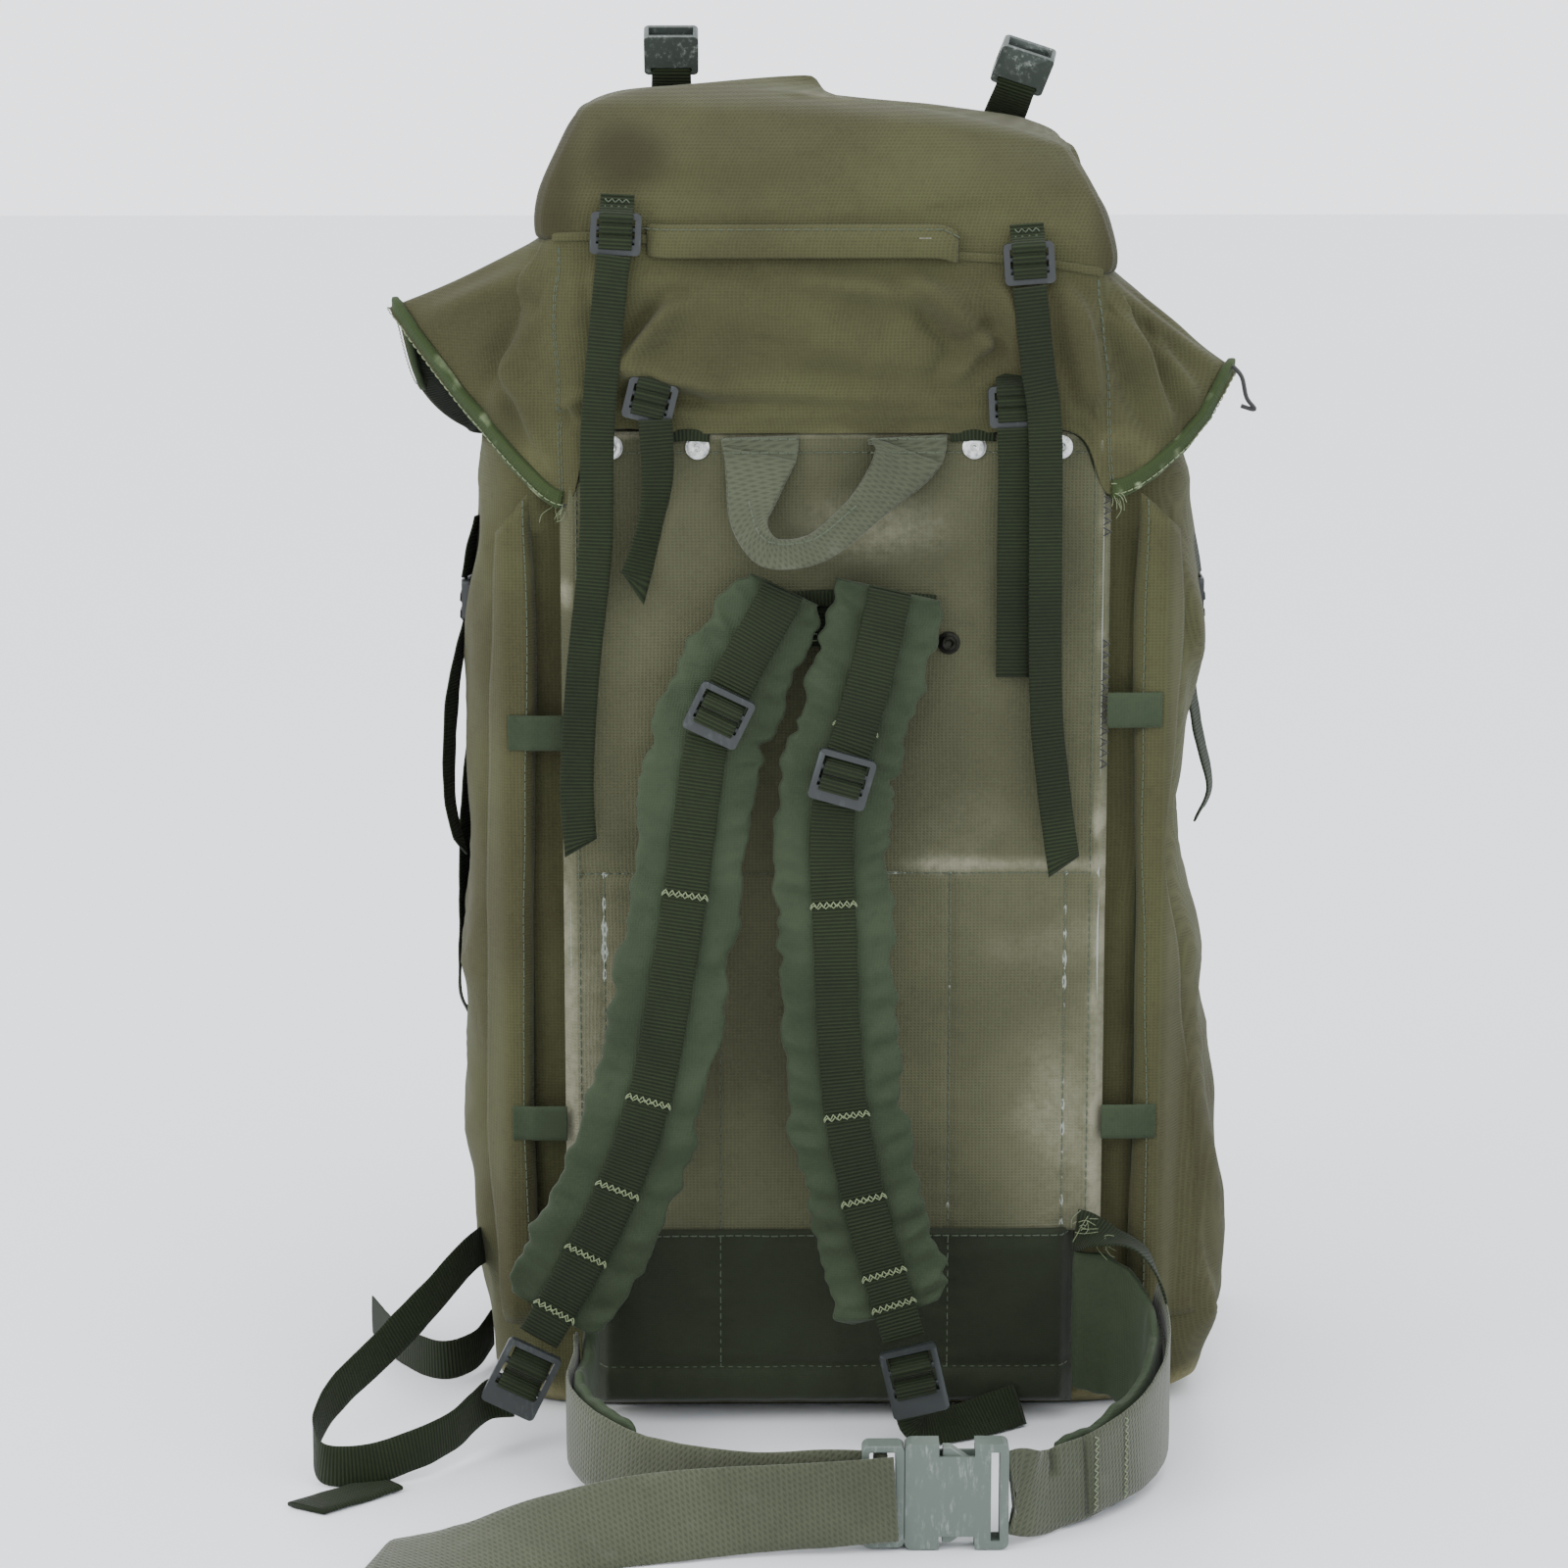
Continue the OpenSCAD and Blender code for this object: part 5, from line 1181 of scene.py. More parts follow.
def make_lid_straps(sizes):
    """Ladder-locks' tabs and hanging tails, which reach down over the back panel."""
    thick = sizes.webbing / MM
    parts, threads = [], []
    for k, (points, cut) in enumerate(zip(TAILS, TAIL_CUTS)):
        route = smooth([(x, PANEL_FACE - out, z, turn, -1, 0, 19.5) for x, out, z, turn in points], 10)
        parts.append(band(route, thick, ripple=0.7, seed=k * 3.0, cut=cut))
    tails = piece("lid_strap_tails", joined(parts), "webbing", body=None,
                  stands_for=["lid_tails"])
    wear(tails, lambda p: 0.25 * max(0, noise.noise(p / 20)))
    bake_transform(tails)
    loops, tabs = [], []
    for x, y, z, lean in LID_LOCKS:
        loops.append(threaded((x, y, z), lean, 19, 24, thick))
        over = [tuple(Vector((x, y, z)) + turned(lean, 0, dy, dz))
                + tuple(turned(lean, 0, -1, 0.2)) + (19.5,)
                for dy, dz in ((5.6, 22), (4.4, 17), (1.2, 13.5), (-3.0, 10.6), (-3.4, 8.0), (-1.2, 6.0))]
        tabs.append(band(smooth(over, 5), thick, ripple=0.3, seed=x))
        if z > 650:
            for dz in (14.5, 18.5):
                a = Vector((x, y + 2.5 if dz < 17 else y + 3.6, z)) + turned(lean, -7, 0, dz)
                b = Vector((x, y + 2.5 if dz < 17 else y + 3.6, z)) + turned(lean, 7, 0, dz)
                threads.append(zigzag(a, b, BACK, 0.4, 2, 2))
    piece("lid_lock_loops", joined(loops + tabs), "webbing", "lid")
    piece("lid_tab_tacks", joined(threads), "dark_thread", "lid")


def make_haul_handle(sizes):
    """Folded twill handle: wide sewn anchors, its loop folded in half and leaning to one side."""
    y, z = PANEL_FACE - 4.8, PANEL_TOP - 4
    route = [
        (-44, y + 0.4, z + 1.5, 0, -1, 0, 45), (-44, y + 0.2, z - 8, 0, -1, 0, 43),
        (-47, y - 4, z - 24, -0.1, -1, 0, 34), (-50, y - 13, z - 44, -0.3, -1, 0.1, 24),
        (-45, y - 20, z - 57, -0.5, -1, 0.3, 19), (-34, y - 22, z - 63, -0.2, -1, 0.5, 18),
        (-12, y - 20, z - 60, 0.1, -1, 0.5, 18), (10, y - 14, z - 44, 0.3, -1, 0.3, 20),
        (26, y - 8, z - 28, 0.2, -1, 0.1, 26), (37, y - 3, z - 15, 0.1, -1, 0, 36),
        (41, y, z - 6, 0, -1, 0, 44), (41, y + 0.4, z + 1.5, 0, -1, 0, 46)]
    thick = sizes.belt / MM
    under = [tuple(a) for a in route]
    over = [(x, b - 1.9, c, p, q, r, w * (0.94 if 20 < w < 40 else 1)) for x, b, c, p, q, r, w in route[1:-1]]
    shape = joined([band(smooth(under, 7), thick * 0.8, ripple=0.8, seed=2),
                    band(smooth(over, 7), thick * 0.8, ripple=1.0, seed=6)])
    obj = piece("haul_handle_webbing", shape, "belt", "handle", ["haul_handle"])
    wear(obj, lambda p: 0.16 * blotch(p, 12) + 0.12 * (1 - ease(530, 560, p[2])))
    edge = [tuple(Vector(s[:3]) + Vector((0, -3.4, 0)) + UP * s[6] * 0.36) for s in smooth(route[3:8], 8)]
    rows = [stitches(edge, BACK, sizes.thread / MM)]
    for x in (-44, 41):
        for dz in (2, -6):
            rows.append(stitches([(x + dx, y - 4.0, z + dz - 1) for dx in (-19, 19)],
                                 BACK, sizes.thread / MM))
    piece("haul_handle_stitches", joined(rows), "dark_thread", "handle")


# ------------------------------------------------------------ shoulder straps

# Middle line of each pad: x, distance out from the panel, height
LEFT_LINE = [(-31, 13, 511), (-37, 15, 499), (-56, 20, 466), (-73, 25, 430), (-79, 29, 399),
             (-87, 34, 341), (-96, 38, 284), (-108, 43, 220), (-128, 47, 161), (-151, 50, 114),
             (-168, 52, 84)]
RIGHT_LINE = [(31, 13, 510), (28, 15, 497), (20, 20, 464), (10, 25, 428), (0, 29, 399), (-3, 33, 360),
              (-1, 37, 315), (1, 41, 260), (6, 45, 205), (16, 49, 155), (27, 51, 114), (36, 52, 84)]
LEFT_TACKS = (337, 213, 162, 121, 90)
RIGHT_TACKS = (431, 331, 204, 154, 110, 91)
PAD_WIDTH = 70
PAD_THICK = 13
STRAP = 25


def pad_stations(line, width, top_share):
    """Stations of a pad that starts at a share of its width and tapers again at its end."""
    stations = smooth([(x, PANEL_FACE - out, z, 0, -1, 0, width) for x, out, z in line], 15)
    n = len(stations)
    made = []
    for i, s in enumerate(stations):
        share = i / (n - 1)
        keep = top_share + (1 - top_share) * ease(0, 0.26, share)
        made.append(s[:6] + (width * keep * (1 - 0.25 * ease(0.965, 1, share)),))
    return made


def padded_run(stations, thick, tacks, pucker, seed, count=36):
    """A stuffed strap: its edges are gathered by their seams, and it is sewn flat at each tack."""
    rings = []
    along = headings(stations)
    run = 0.0
    for i, (s, ahead) in enumerate(zip(stations, along)):
        here, out = Vector(s[:3]), Vector(s[3:6])
        if i:
            run += (here - Vector(stations[i - 1][:3])).length
        side = ahead.cross(out).normalized()
        face = side.cross(ahead)
        ends = min(1.0, min(i, len(stations) - 1 - i) / 3.0)
        ends = 0.25 + 0.75 * math.sqrt(ends)
        tacked = max([math.exp(-((here.z - z) / 6) ** 2) for z in tacks] or [0])
        ring = []
        for k in range(count):
            a = 2 * math.pi * k / count
            u = math.copysign(abs(math.cos(a)) ** 0.75, math.cos(a))
            h = math.copysign(abs(math.sin(a)) ** 0.62, math.sin(a))
            edge = abs(u) ** 3
            beat = noise.noise(Vector((run / 7.5, math.copysign(3, u) + seed, 0.5)))
            deep = noise.noise(Vector((run / 22, math.copysign(5, u) + seed, 4.5)))
            gather = pucker * (1.5 * beat + 1.2 * deep)
            half = s[6] / 2 + edge * gather * 1.3
            flat = 1 - 0.35 * tacked * (1 - edge * 0.5)
            body = thick / 2 * h * ends * flat
            wrinkle = noise.noise(Vector((run / 8 + abs(u) * 1.3, math.copysign(7, u) + seed, 1.5)))
            share = ease(0.25, 0.8, abs(u)) * (1 - abs(u) ** 8)
            body += pucker * share * 2.1 * wrinkle * (1 if h > 0 else -0.6)
            ring.append(here + side * u * half + face * body)
        rings.append(ring)
    return rings


def plump(obj, pins, cap, pressure=3.0, frames=14):
    """Swells a padded piece with cloth simulation: the pinned points stay, and no point moves
    further than cap, in millimetres. The swollen shape is kept and the simulation is removed."""
    scene = bpy.context.scene
    group = obj.vertex_groups.new(name="sewn")
    start = [v.co.copy() for v in obj.data.vertices]
    for v in obj.data.vertices:
        group.add([v.index], pins(v.co / MM), "REPLACE")
    cloth = obj.modifiers.new("swell", "CLOTH")
    with_settings = cloth.settings
    with_settings.quality = 6
    with_settings.mass = 0.25
    with_settings.tension_stiffness = with_settings.compression_stiffness = 12
    with_settings.shear_stiffness = 6
    with_settings.bending_stiffness = 0.4
    with_settings.vertex_group_mass = "sewn"
    with_settings.use_pressure = True
    with_settings.uniform_pressure_force = pressure
    with_settings.effector_weights.gravity = 0
    cloth.collision_settings.use_collision = False
    cloth.collision_settings.use_self_collision = False
    cloth.point_cache.frame_start, cloth.point_cache.frame_end = 1, frames
    for step in range(1, frames + 1):
        scene.frame_set(step)
    swollen = obj.evaluated_get(bpy.context.evaluated_depsgraph_get()).data
    if len(swollen.vertices) != len(start):
        raise RuntimeError(obj.name + ": another modifier changes the simulated mesh")
    moved = [v.co.copy() for v in swollen.vertices]
    obj.modifiers.remove(cloth)
    obj.vertex_groups.remove(group)
    for v, a, b in zip(obj.data.vertices, start, moved):
        shift = b - a
        if shift.length > cap * MM:
            shift = shift.normalized() * cap * MM
        v.co = a + shift
    obj.data.update()
    scene.frame_set(1)


def soft_form(obj, levels=1):
    """One level of subdivision, added after the simulation."""
    form = obj.modifiers.new("soft form", "SUBSURF")
    form.levels = form.render_levels = levels


def from_run(p, stations):
    """How far a point lies sideways from a run's middle, as a share of its half width."""
    best = min(stations, key=lambda s: (Vector(s[:3]) - p).length_squared)
    return abs(p.x - best[0]) / (best[6] / 2)


def make_shoulder_pads(sizes):
    """The two stuffed shoulder pads, each riding on its own body."""
    for name, line, tacks, body, seed, top_share in (
            ("left", LEFT_LINE, LEFT_TACKS, "shoulder_left", 1.0, 0.76),
            ("right", RIGHT_LINE, RIGHT_TACKS, "shoulder_right", 7.0, 0.95)):
        stations = pad_stations(line, PAD_WIDTH - 3, top_share)
        rings = padded_run(stations, PAD_THICK - 2, tacks, sizes.pucker / MM, seed)
        obj = piece("shoulder_pad_" + name + "_padded", skin(rings, caps=True), "pad", body,
                    ["shoulder_pad_" + name])

        def pins(p, stations=stations):
            u = from_run(p, stations)
            return 1.0 if u > 0.93 or u < 0.42 else 0.15

        plump(obj, pins, 2.6)
        soft_form(obj)
        wear(obj, lambda p: 0.15 * blotch(p, 22, 3))
        wear(obj, lambda p: 0.3 * blotch(p, 40, 8), "grime_and_shade")


def z_crossing(stations, z):
    """The station of a falling run that is nearest a height."""
    return min(range(len(stations)), key=lambda i: abs(stations[i][2] - z))


SLIDES = {"left": ((-68, -175.0, 441), 26), "right": ((3, -179.5, 404), 16)}


def make_shoulder_webbing(sizes):
    """Webbing down each pad's middle, standing a little proud between its bar tacks."""
    thick = sizes.webbing / MM
    for name, line, tacks, body, tip in (
            ("left", LEFT_LINE, LEFT_TACKS, "shoulder_left", (-175, 52, 72)),
            ("right", RIGHT_LINE, RIGHT_TACKS, "shoulder_right", (40, 52, 70))):
        stations = smooth([(x, PANEL_FACE - out, z, 0, -1, 0, STRAP) for x, out, z in line + [tip]], 10)
        marks = [z_crossing(stations, z) for z in (522,) + tacks + (60,)]
        lifted = []
        for i, s in enumerate(stations):
            rise = 0.0
            for a, b in zip(marks, marks[1:]):
                if a < i < b:
                    span = (Vector(stations[a][:3]) - Vector(stations[b][:3])).length
                    rise = min(2.6, span / 22) * math.sin(math.pi * (i - a) / (b - a))
            ahead = headings(stations)[i]
            face = Vector((0, -1, 0)) - ahead * ahead.dot(Vector((0, -1, 0)))
            off = face.normalized() * (PAD_THICK / 2 + thick / 2 + 0.2 + rise)
            lifted.append(tuple(Vector(s[:3]) + off) + s[3:])
        shape = [band(lifted, thick, ripple=0.55, seed=len(line))]
        at, lean = SLIDES[name]
        upper = z_crossing(lifted, at[2])
        doubled = [tuple(Vector(s[:3]) + BACK * (thick + 0.3 + 1.6 * ease(0, 8, i))) + s[3:]
                   for i, s in enumerate(lifted[2:upper - 2])]
        shape.append(band(doubled, thick, ripple=0.5, seed=9))
        slide_low, slide_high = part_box("strap_slides_" + name)
        slide_y = (slide_low.y + slide_high.y) / 2 / MM
        shape.append(threaded((at[0], slide_y, at[2]), lean, STRAP - 1, 30, thick))
        obj = piece("shoulder_webbing_" + name + "_sewn", joined(shape), "webbing", body,
                    ["shoulder_webbing_" + name])
        wear(obj, lambda p: 0.3 * max(0, noise.noise(p / 15)))
        rows = []
        ahead = headings(lifted)
        for z in tacks:
            k = z_crossing(lifted, z)
            p = Vector(lifted[k][:3])
            side = ahead[k].cross(BACK).normalized()
            a, b = p - side * STRAP * 0.54 + BACK * 1.1, p + side * STRAP * 0.54 + BACK * 1.1
            rows.append(zigzag(a, b, BACK, sizes.thread / MM * 1.15, 1.9, 3.0))
            rows.append(zigzag(a + ahead[k] * 1.2, b + ahead[k] * 1.2, BACK, sizes.thread / MM, 2.3, 2.2))
        piece("shoulder_tacks_" + name, joined(rows), "thread", body)


LOWER_LEFT = (-185, -190, 48)
LOWER_RIGHT = (46, -190, 46)
EDGE_Z = 13.0


def standing(points, width, turn=1):
    """Adds a level facing, square to the route, so that the band stands on its edge."""
    made = []
    for p, ahead in zip(points, headings(points)):
        level = Vector((ahead.x, ahead.y, 0)).normalized()
        made.append(tuple(p[:3]) + (turn * level.y, -turn * level.x, 0, width))
    return made


# How far the webbing sits out from a lower ladder-lock's middle, and how much of it the lock holds
LOCK_OUT = 8.0
LOCK_REACH = 42


def make_lower_straps(sizes):
    """The straps from the sack's corners to the ladder-locks at the pads' ends."""
    thick = sizes.webbing / MM
    loop = smooth([(-211.6, -85, 95), (-223, -110, 92), (-246, -140, 73), (-272, -165, 52),
                   (-296, -197, 36), (-305, -225, 22), (-298, -249, EDGE_Z + 1), (-272, -251, EDGE_Z + 1),
                   (-244, -238, 19), (-225, -217, 22), (-215, -199, 26), (-205, -186, 30),
                   (-192, -187, 32)], 10)
    tail = smooth([(-260, -249, 2.2, 0, 0, 1, STRAP), (-282, -269, 2.0, 0, 0, 1, STRAP),
                   (-305, -289, 2.0, 0, 0, 1, STRAP)], 8)
    shape = [band(standing(loop, STRAP), thick, ripple=0.8, seed=3.0),
             band(tail, thick * 1.9, ripple=0.6, seed=5.0, cut=4)]
    x, y, z = LOWER_LEFT
    shape.append(threaded((x, y - LOCK_OUT, z - 1), 26, STRAP - 1, LOCK_REACH, thick))
    left = piece("lower_strap_left_webbing", joined(shape), "webbing", body=None,
                 stands_for=["lower_strap_left"])
    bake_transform(left)
    x, y, z = LOWER_RIGHT
    right = smooth([(48, -192.5, 40, 0, -1, 0.05, STRAP), (48, -191, 22, 0, -1, 0.2, STRAP),
                    (54, -182, 12, 0.3, -0.8, 0.6, STRAP), (78, -168, 9, 0.4, -0.5, 0.8, STRAP),
                    (112, -150, 13, 0.3, -0.9, 0.4, STRAP)], 8)
    shape = [band(right, thick, ripple=0.5, seed=8.0),
             threaded((x, y - LOCK_OUT, z - 1), -13, STRAP - 1, LOCK_REACH, thick)]
    strap = piece("lower_strap_right_webbing", joined(shape), "webbing", body=None,
                  stands_for=["lower_strap_right"])
    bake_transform(strap)


# ------------------------------------------------------------ waist belt

# Stations of the hip pads: x, distance out from the sack, low edge, high edge
LEFT_HIP = [(-144, 24, 22, 96), (-146, 44, 20, 74), (-147, 66, 16, 62), (-150, 108, 8, 60),
            (-136, 144, 3, 57), (-116, 168, 1, 53)]
RIGHT_HIP = [(142, 24, 22, 110), (168, 34, 16, 108), (184, 62, 10, 92), (184, 102, 4, 76),
             (168, 144, 2, 64), (142, 176, 1, 56), (120, 194, 1, 53)]
HIP_THICK = 9
BELT = 50
BUCKLE = (52, -346, 31.5)


def hip_route(line, turn, steps=9):
    """Stations of one hip pad, facing out from the wearer."""
    points = [(x, SACK_BACK - out, (low + high) / 2, high - low) for x, out, low, high in smooth(line, steps)]
    made = []
    for i, p in enumerate(points):
        a, b = points[max(i - 1, 0)], points[min(i + 1, len(points) - 1)]
        d = Vector((b[0] - a[0], b[1] - a[1], 0)).normalized()
        made.append(p[:3] + (turn * d.y, -turn * d.x, 0, p[3]))
    return made


def level_run(stations, thick, pucker, seed, count=36):
    """A stuffed wing that stands on its edge, gathered along its top and bottom seams."""
    rings, run = [], 0.0
    for i, s in enumerate(stations):
        here, out = Vector(s[:3]), Vector(s[3:6]).normalized()
        if i:
            run += (here - Vector(stations[i - 1][:3])).length
        ends = 0.3 + 0.7 * math.sqrt(min(1.0, min(i, len(stations) - 1 - i) / 3.0))
        ring = []
        for k in range(count):
            a = 2 * math.pi * k / count
            u = math.copysign(abs(math.sin(a)) ** 0.7, math.sin(a))
            h = math.copysign(abs(math.cos(a)) ** 0.6, math.cos(a))
            edge = abs(u) ** 3
            beat = noise.noise(Vector((run / 10, math.copysign(3, u) + seed, 2.5)))
            deep = noise.noise(Vector((run / 24, math.copysign(4, u) + seed, 7.5)))
            gather = pucker * (1.4 * beat + 1.3 * deep)
            body = thick / 2 * h * ends + pucker * abs(u) ** 1.4 * (1 - abs(u) ** 8) * beat * 1.1
            z = here.z + u * (s[6] / 2 - 0.5 + edge * gather * 1.2)
            ring.append(Vector((here.x, here.y, max(0.8, z))) + out * body)
        rings.append(ring)
    return rings


def make_hip_pads(sizes):
    """The two stuffed wings of the waist belt."""
    for name, line, turn, seed in (("left", LEFT_HIP, -1, 2.0), ("right", RIGHT_HIP, 1, 11.0)):
        stations = hip_route(line, turn)
        rings = level_run(stations, HIP_THICK - 0.5, sizes.pucker / MM, seed)
        obj = piece("hip_pad_" + name + "_padded", skin(rings, caps=True), "pad",
                    stands_for=["hip_pad_" + name])

        def pins(p, stations=stations):
            best = min(stations, key=lambda s: (Vector(s[:2]) - Vector(p[:2])).length_squared)
            return 1.0 if abs(p[2] - best[2]) / (best[6] / 2) > 0.9 else 0.25

        plump(obj, pins, 2.5, 2.0, 10)
        soft_form(obj)
        wear(obj, lambda p: 0.15 * blotch(p, 24, 5))


def belt_route(line, turn, rest, skip):
    """Stations of the belt's webbing, over a hip pad and on along rest."""
    wing = hip_route(line, turn, 6)[skip:]
    off = HIP_THICK / 2 + 2.1
    sewn = [(s[0] - s[3] * off, s[1] - s[4] * off, max(s[2], BELT / 2 + 1)) for s in wing]
    return standing(sewn + smooth(rest, 6), BELT, turn)


def make_belt(sizes):
    """Twill webbing sewn over both wings, and on to the buckle; the loose end lies in front."""
    thick = sizes.belt / MM
    x, y, z = BUCKLE
    left = belt_route(LEFT_HIP, -1, [(-110, -306, 26), (-85, -321, 26), (-46, -336, 27),
                                     (-8, -344, z), (x - 40, y, z)], 6)
    right = belt_route(RIGHT_HIP, 1, [(116, -331, 26), (107, -339, 28), (98, -344, z), (x + 43, y, z)], 6)
    shape = [band(left, thick, ripple=0.7, seed=4.0)]
    obj = piece("belt_webbing_left_sewn", joined(shape), "belt",
                stands_for=["belt_webbing_left"])
    wear(obj, lambda p: 0.4 * max(0, noise.noise(p / 16)))
    # the wide part of the right wing: its webbing is folded over on a slant and sewn down
    wing = hip_route(RIGHT_HIP, 1, 6)
    off = HIP_THICK / 2 + 4.0
    wide = [(s[0] - s[3] * off, s[1] - s[4] * off, s[2] + 2, s[3], s[4], 0, s[6] - 5)
            for s in wing[9:-4]]
    shape = [band(right, thick, ripple=0.6, seed=6.0), band(wide, thick, ripple=0.6, seed=7.0)]
    obj = piece("belt_webbing_right_sewn", joined(shape), "belt",
                stands_for=["belt_webbing_right"])
    wear(obj, lambda p: 0.4 * max(0, noise.noise(p / 16)))
    tail = smooth([(x - 22, y - 10, z, 0, -1, 0, BELT), (x - 55, y - 12, z - 2, 0, -1, 0.02, BELT),
                   (-55, y - 14, 27, 0, -1, 0.1, BELT), (-110, y - 17, 23, 0, -1, 0.5, BELT),
                   (-165, y - 19, 15, 0, -0.75, 1, BELT), (-212, y - 20, 6, 0, -0.25, 1, BELT),
                   (-260, y - 20, 1.5, 0, 0, 1, BELT)], 9)
    obj = piece("belt_tail_webbing", band(tail, thick, ripple=1.0, seed=9.0, cut=-7), "belt",
                stands_for=["belt_tail"])
    wear(obj, lambda p: 0.22 * blotch(p, 24))
    radius = sizes.thread / MM
    rows = []
    for route, at, tall in ((left, 2, 22), (wide, len(wide) - 2, 22),
                            (wide, len(wide) - 6, 24), (wide, 2, 24)):
        s = route[at]
        p, out = Vector(s[:3]), -Vector(s[3:6])
        a, b = p - UP * tall + out * 1.7, p + UP * tall + out * 1.7
        rows.append(zigzag(a, b, out, radius, 2.0, 3.0))
    piece("belt_wing_stitches", joined(rows), "thread")
    strap = smooth([(144, -149, 122, -0.3, -1, 0.2, STRAP), (160, -159, 121, 0, -0.3, 1, STRAP),
                    (182, -173, 116, 0.8, 0, 1, STRAP), (194, -181, 92, 1, 0, 0.1, STRAP),
                    (194, -185, 66, 1, 0, 0, STRAP)], 8)
    piece("hip_strap_webbing", band(strap, sizes.webbing / MM, ripple=0.6, seed=2.5), "webbing",
          stands_for=["hip_strap"])
    piece("hip_strap_frays", joined([fray((146, -154, 124), (0.5, -0.5, 0.4), 12, 15, radius * 0.6, 4.0),
                                     fray((160, -162, 118), (0.6, -0.6, -0.5), 8, 12, radius * 0.6, 9.0)]),
          "thread")
    # webbing looped round the plug's bar
    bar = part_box("buckle_plug")[0].x / MM + 11
    ring = []
    for k in range(17):
        a = math.pi * (0.25 + 1.5 * k / 16)
        ring.append((bar - 3.9 * math.cos(a) * -1, y - 3.9 * math.sin(a) * -1, z))
    loop = [(px, py, pz) for px, py, pz in ring]
    stations = []
    for p, ahead in zip(loop, headings(loop)):
        stations.append(p + (ahead.y, -ahead.x, 0, BELT - 1))
    piece("buckle_bar_loop", band(stations, thick, ripple=0.3), "belt")


# ------------------------------------------------------------ side and front straps, pouch


def make_side_straps(sizes):
    """The compression straps down both sides, and the panel's edge bridges."""
    thick = sizes.webbing / MM
    y1, y2 = SACK_BACK + 65, SACK_BACK + 105
    sewn_end = [(1.2, 540), (5, 524), (8, 504)]
    runs = [(-1, y1, sewn_end), (-1, y1, [(9, 478), (14, 455), (19, 425), (21, 370), (14, 337)]),
            (-1, y2, [(9, 400), (13, 350), (16, 290), (19, 240), (14, 223)]),
            (1, y1, sewn_end), (1, y1, [(9, 478), (5, 450), (10, 411), (18, 375), (12, 358)])]
    over_bars = ((0.5, 504), (-1, 497), (3.2, 493), (3.4, 490), (0, 487), (3.2, 483), (3.4, 480), (1, 477))
    parts = []
    for k, (s, y, points) in enumerate(runs):
        route = smooth([(s * (210 + out), y + 3 * math.sin(z / 30), z, s, 0.35 * math.sin(z / 60 + k), 0, 20)
                        for out, z in points], 8)
        parts.append(band(route, thick, ripple=0.8, seed=k * 2.0, cut=(6 if len(points) > 3 else 0)))
        if len(points) == 3:
            parts.append(band([(s * (210 + 8.6 + dx), y, z, s, 0, 0, 19) for dx, z in over_bars], thick))
    standing_run = smooth([(-211.4, -25, 20), (-222, -56, 15), (-242, -66, 13),
                           (-268, -36, 13), (-290, 22, 13)], 10)
    parts.append(band(standing(standing_run, STRAP), thick, ripple=0.7, seed=1.0))
    parts.append(band(smooth([(211.2, 92, 62, 1, 0, 0.2, STRAP), (226, 92, 52, 0.7, 0, 1, STRAP),
                              (241, 92, 38, 1, 0, 0.6, STRAP)], 8), thick, ripple=0.4))
    parts.append(band(smooth([(246, 92, 12, 1, 0, -1, STRAP), (234, 92, 5, 0.2, 0, -1, STRAP),
                              (218, 92, 6, -0.1, 0, -1, STRAP)], 8), thick, ripple=0.4))
    piece("side_strap_webbing", joined(parts), "webbing", stands_for=["side_straps"])
    parts = []
    for side, z in ((-1, 423), (-1, 186), (1, 186), (1, 436)):
        route = smooth([(side * (159 + 6.5 * k), PANEL_FACE - (1.6 if k < 4 else 0.4), z,
                         0.05 * side, -1, 0, 21) for k in range(6)], 5)
        parts.append(band(route, thick, ripple=0.4, seed=z))
    piece("edge_bridge_webbing", joined(parts), "pad", stands_for=["edge_loops"])


def make_front_straps(sizes):
    """The straps and tips that hold the lid down at the front."""
    thick = sizes.webbing / MM
    lay = SACK_FRONT + 1.2
    run = [(0, 66, 1, 0), (0.4, 250, 1, 0), (0, 450, 1, 0), (1.5, 463, 0.9, -0.4), (5.5, 468, 0, -1),
           (9.5, 463, -0.9, -0.4), (11, 450, -1, 0), (11, 398, -1, 0)]
    parts = [band(smooth([(s * 144, lay + p[0], p[1], 0, p[2], p[3], STRAP) for p in run], 8), thick,
                  ripple=0.5, seed=s) for s in (-1, 1)]
    piece("front_strap_webbing", joined(parts), "webbing", stands_for=["front_straps"])


def rounded_loop(x0, x1, y0, y1, z, r, steps=6):
    """A rounded rectangle of points, level at z."""
    points = []
    for cx, cy, start in ((x1 - r, y0 + r, -90), (x1 - r, y1 - r, 0),
                          (x0 + r, y1 - r, 90), (x0 + r, y0 + r, 180)):
        for k in range(steps + 1):
            a = math.radians(start + 90 * k / steps)
            points.append((cx + r * math.cos(a), cy + r * math.sin(a), z))
    return points


def dense(points, pitch):
    """The same closed loop with points at most pitch apart."""
    made = []
    for a, b in zip(points, points[1:] + points[:1]):
        n = max(1, math.ceil(math.dist(a, b) / pitch))
        made += [tuple(p + (q - p) * k / n for p, q in zip(a, b)) for k in range(n)]
    return made


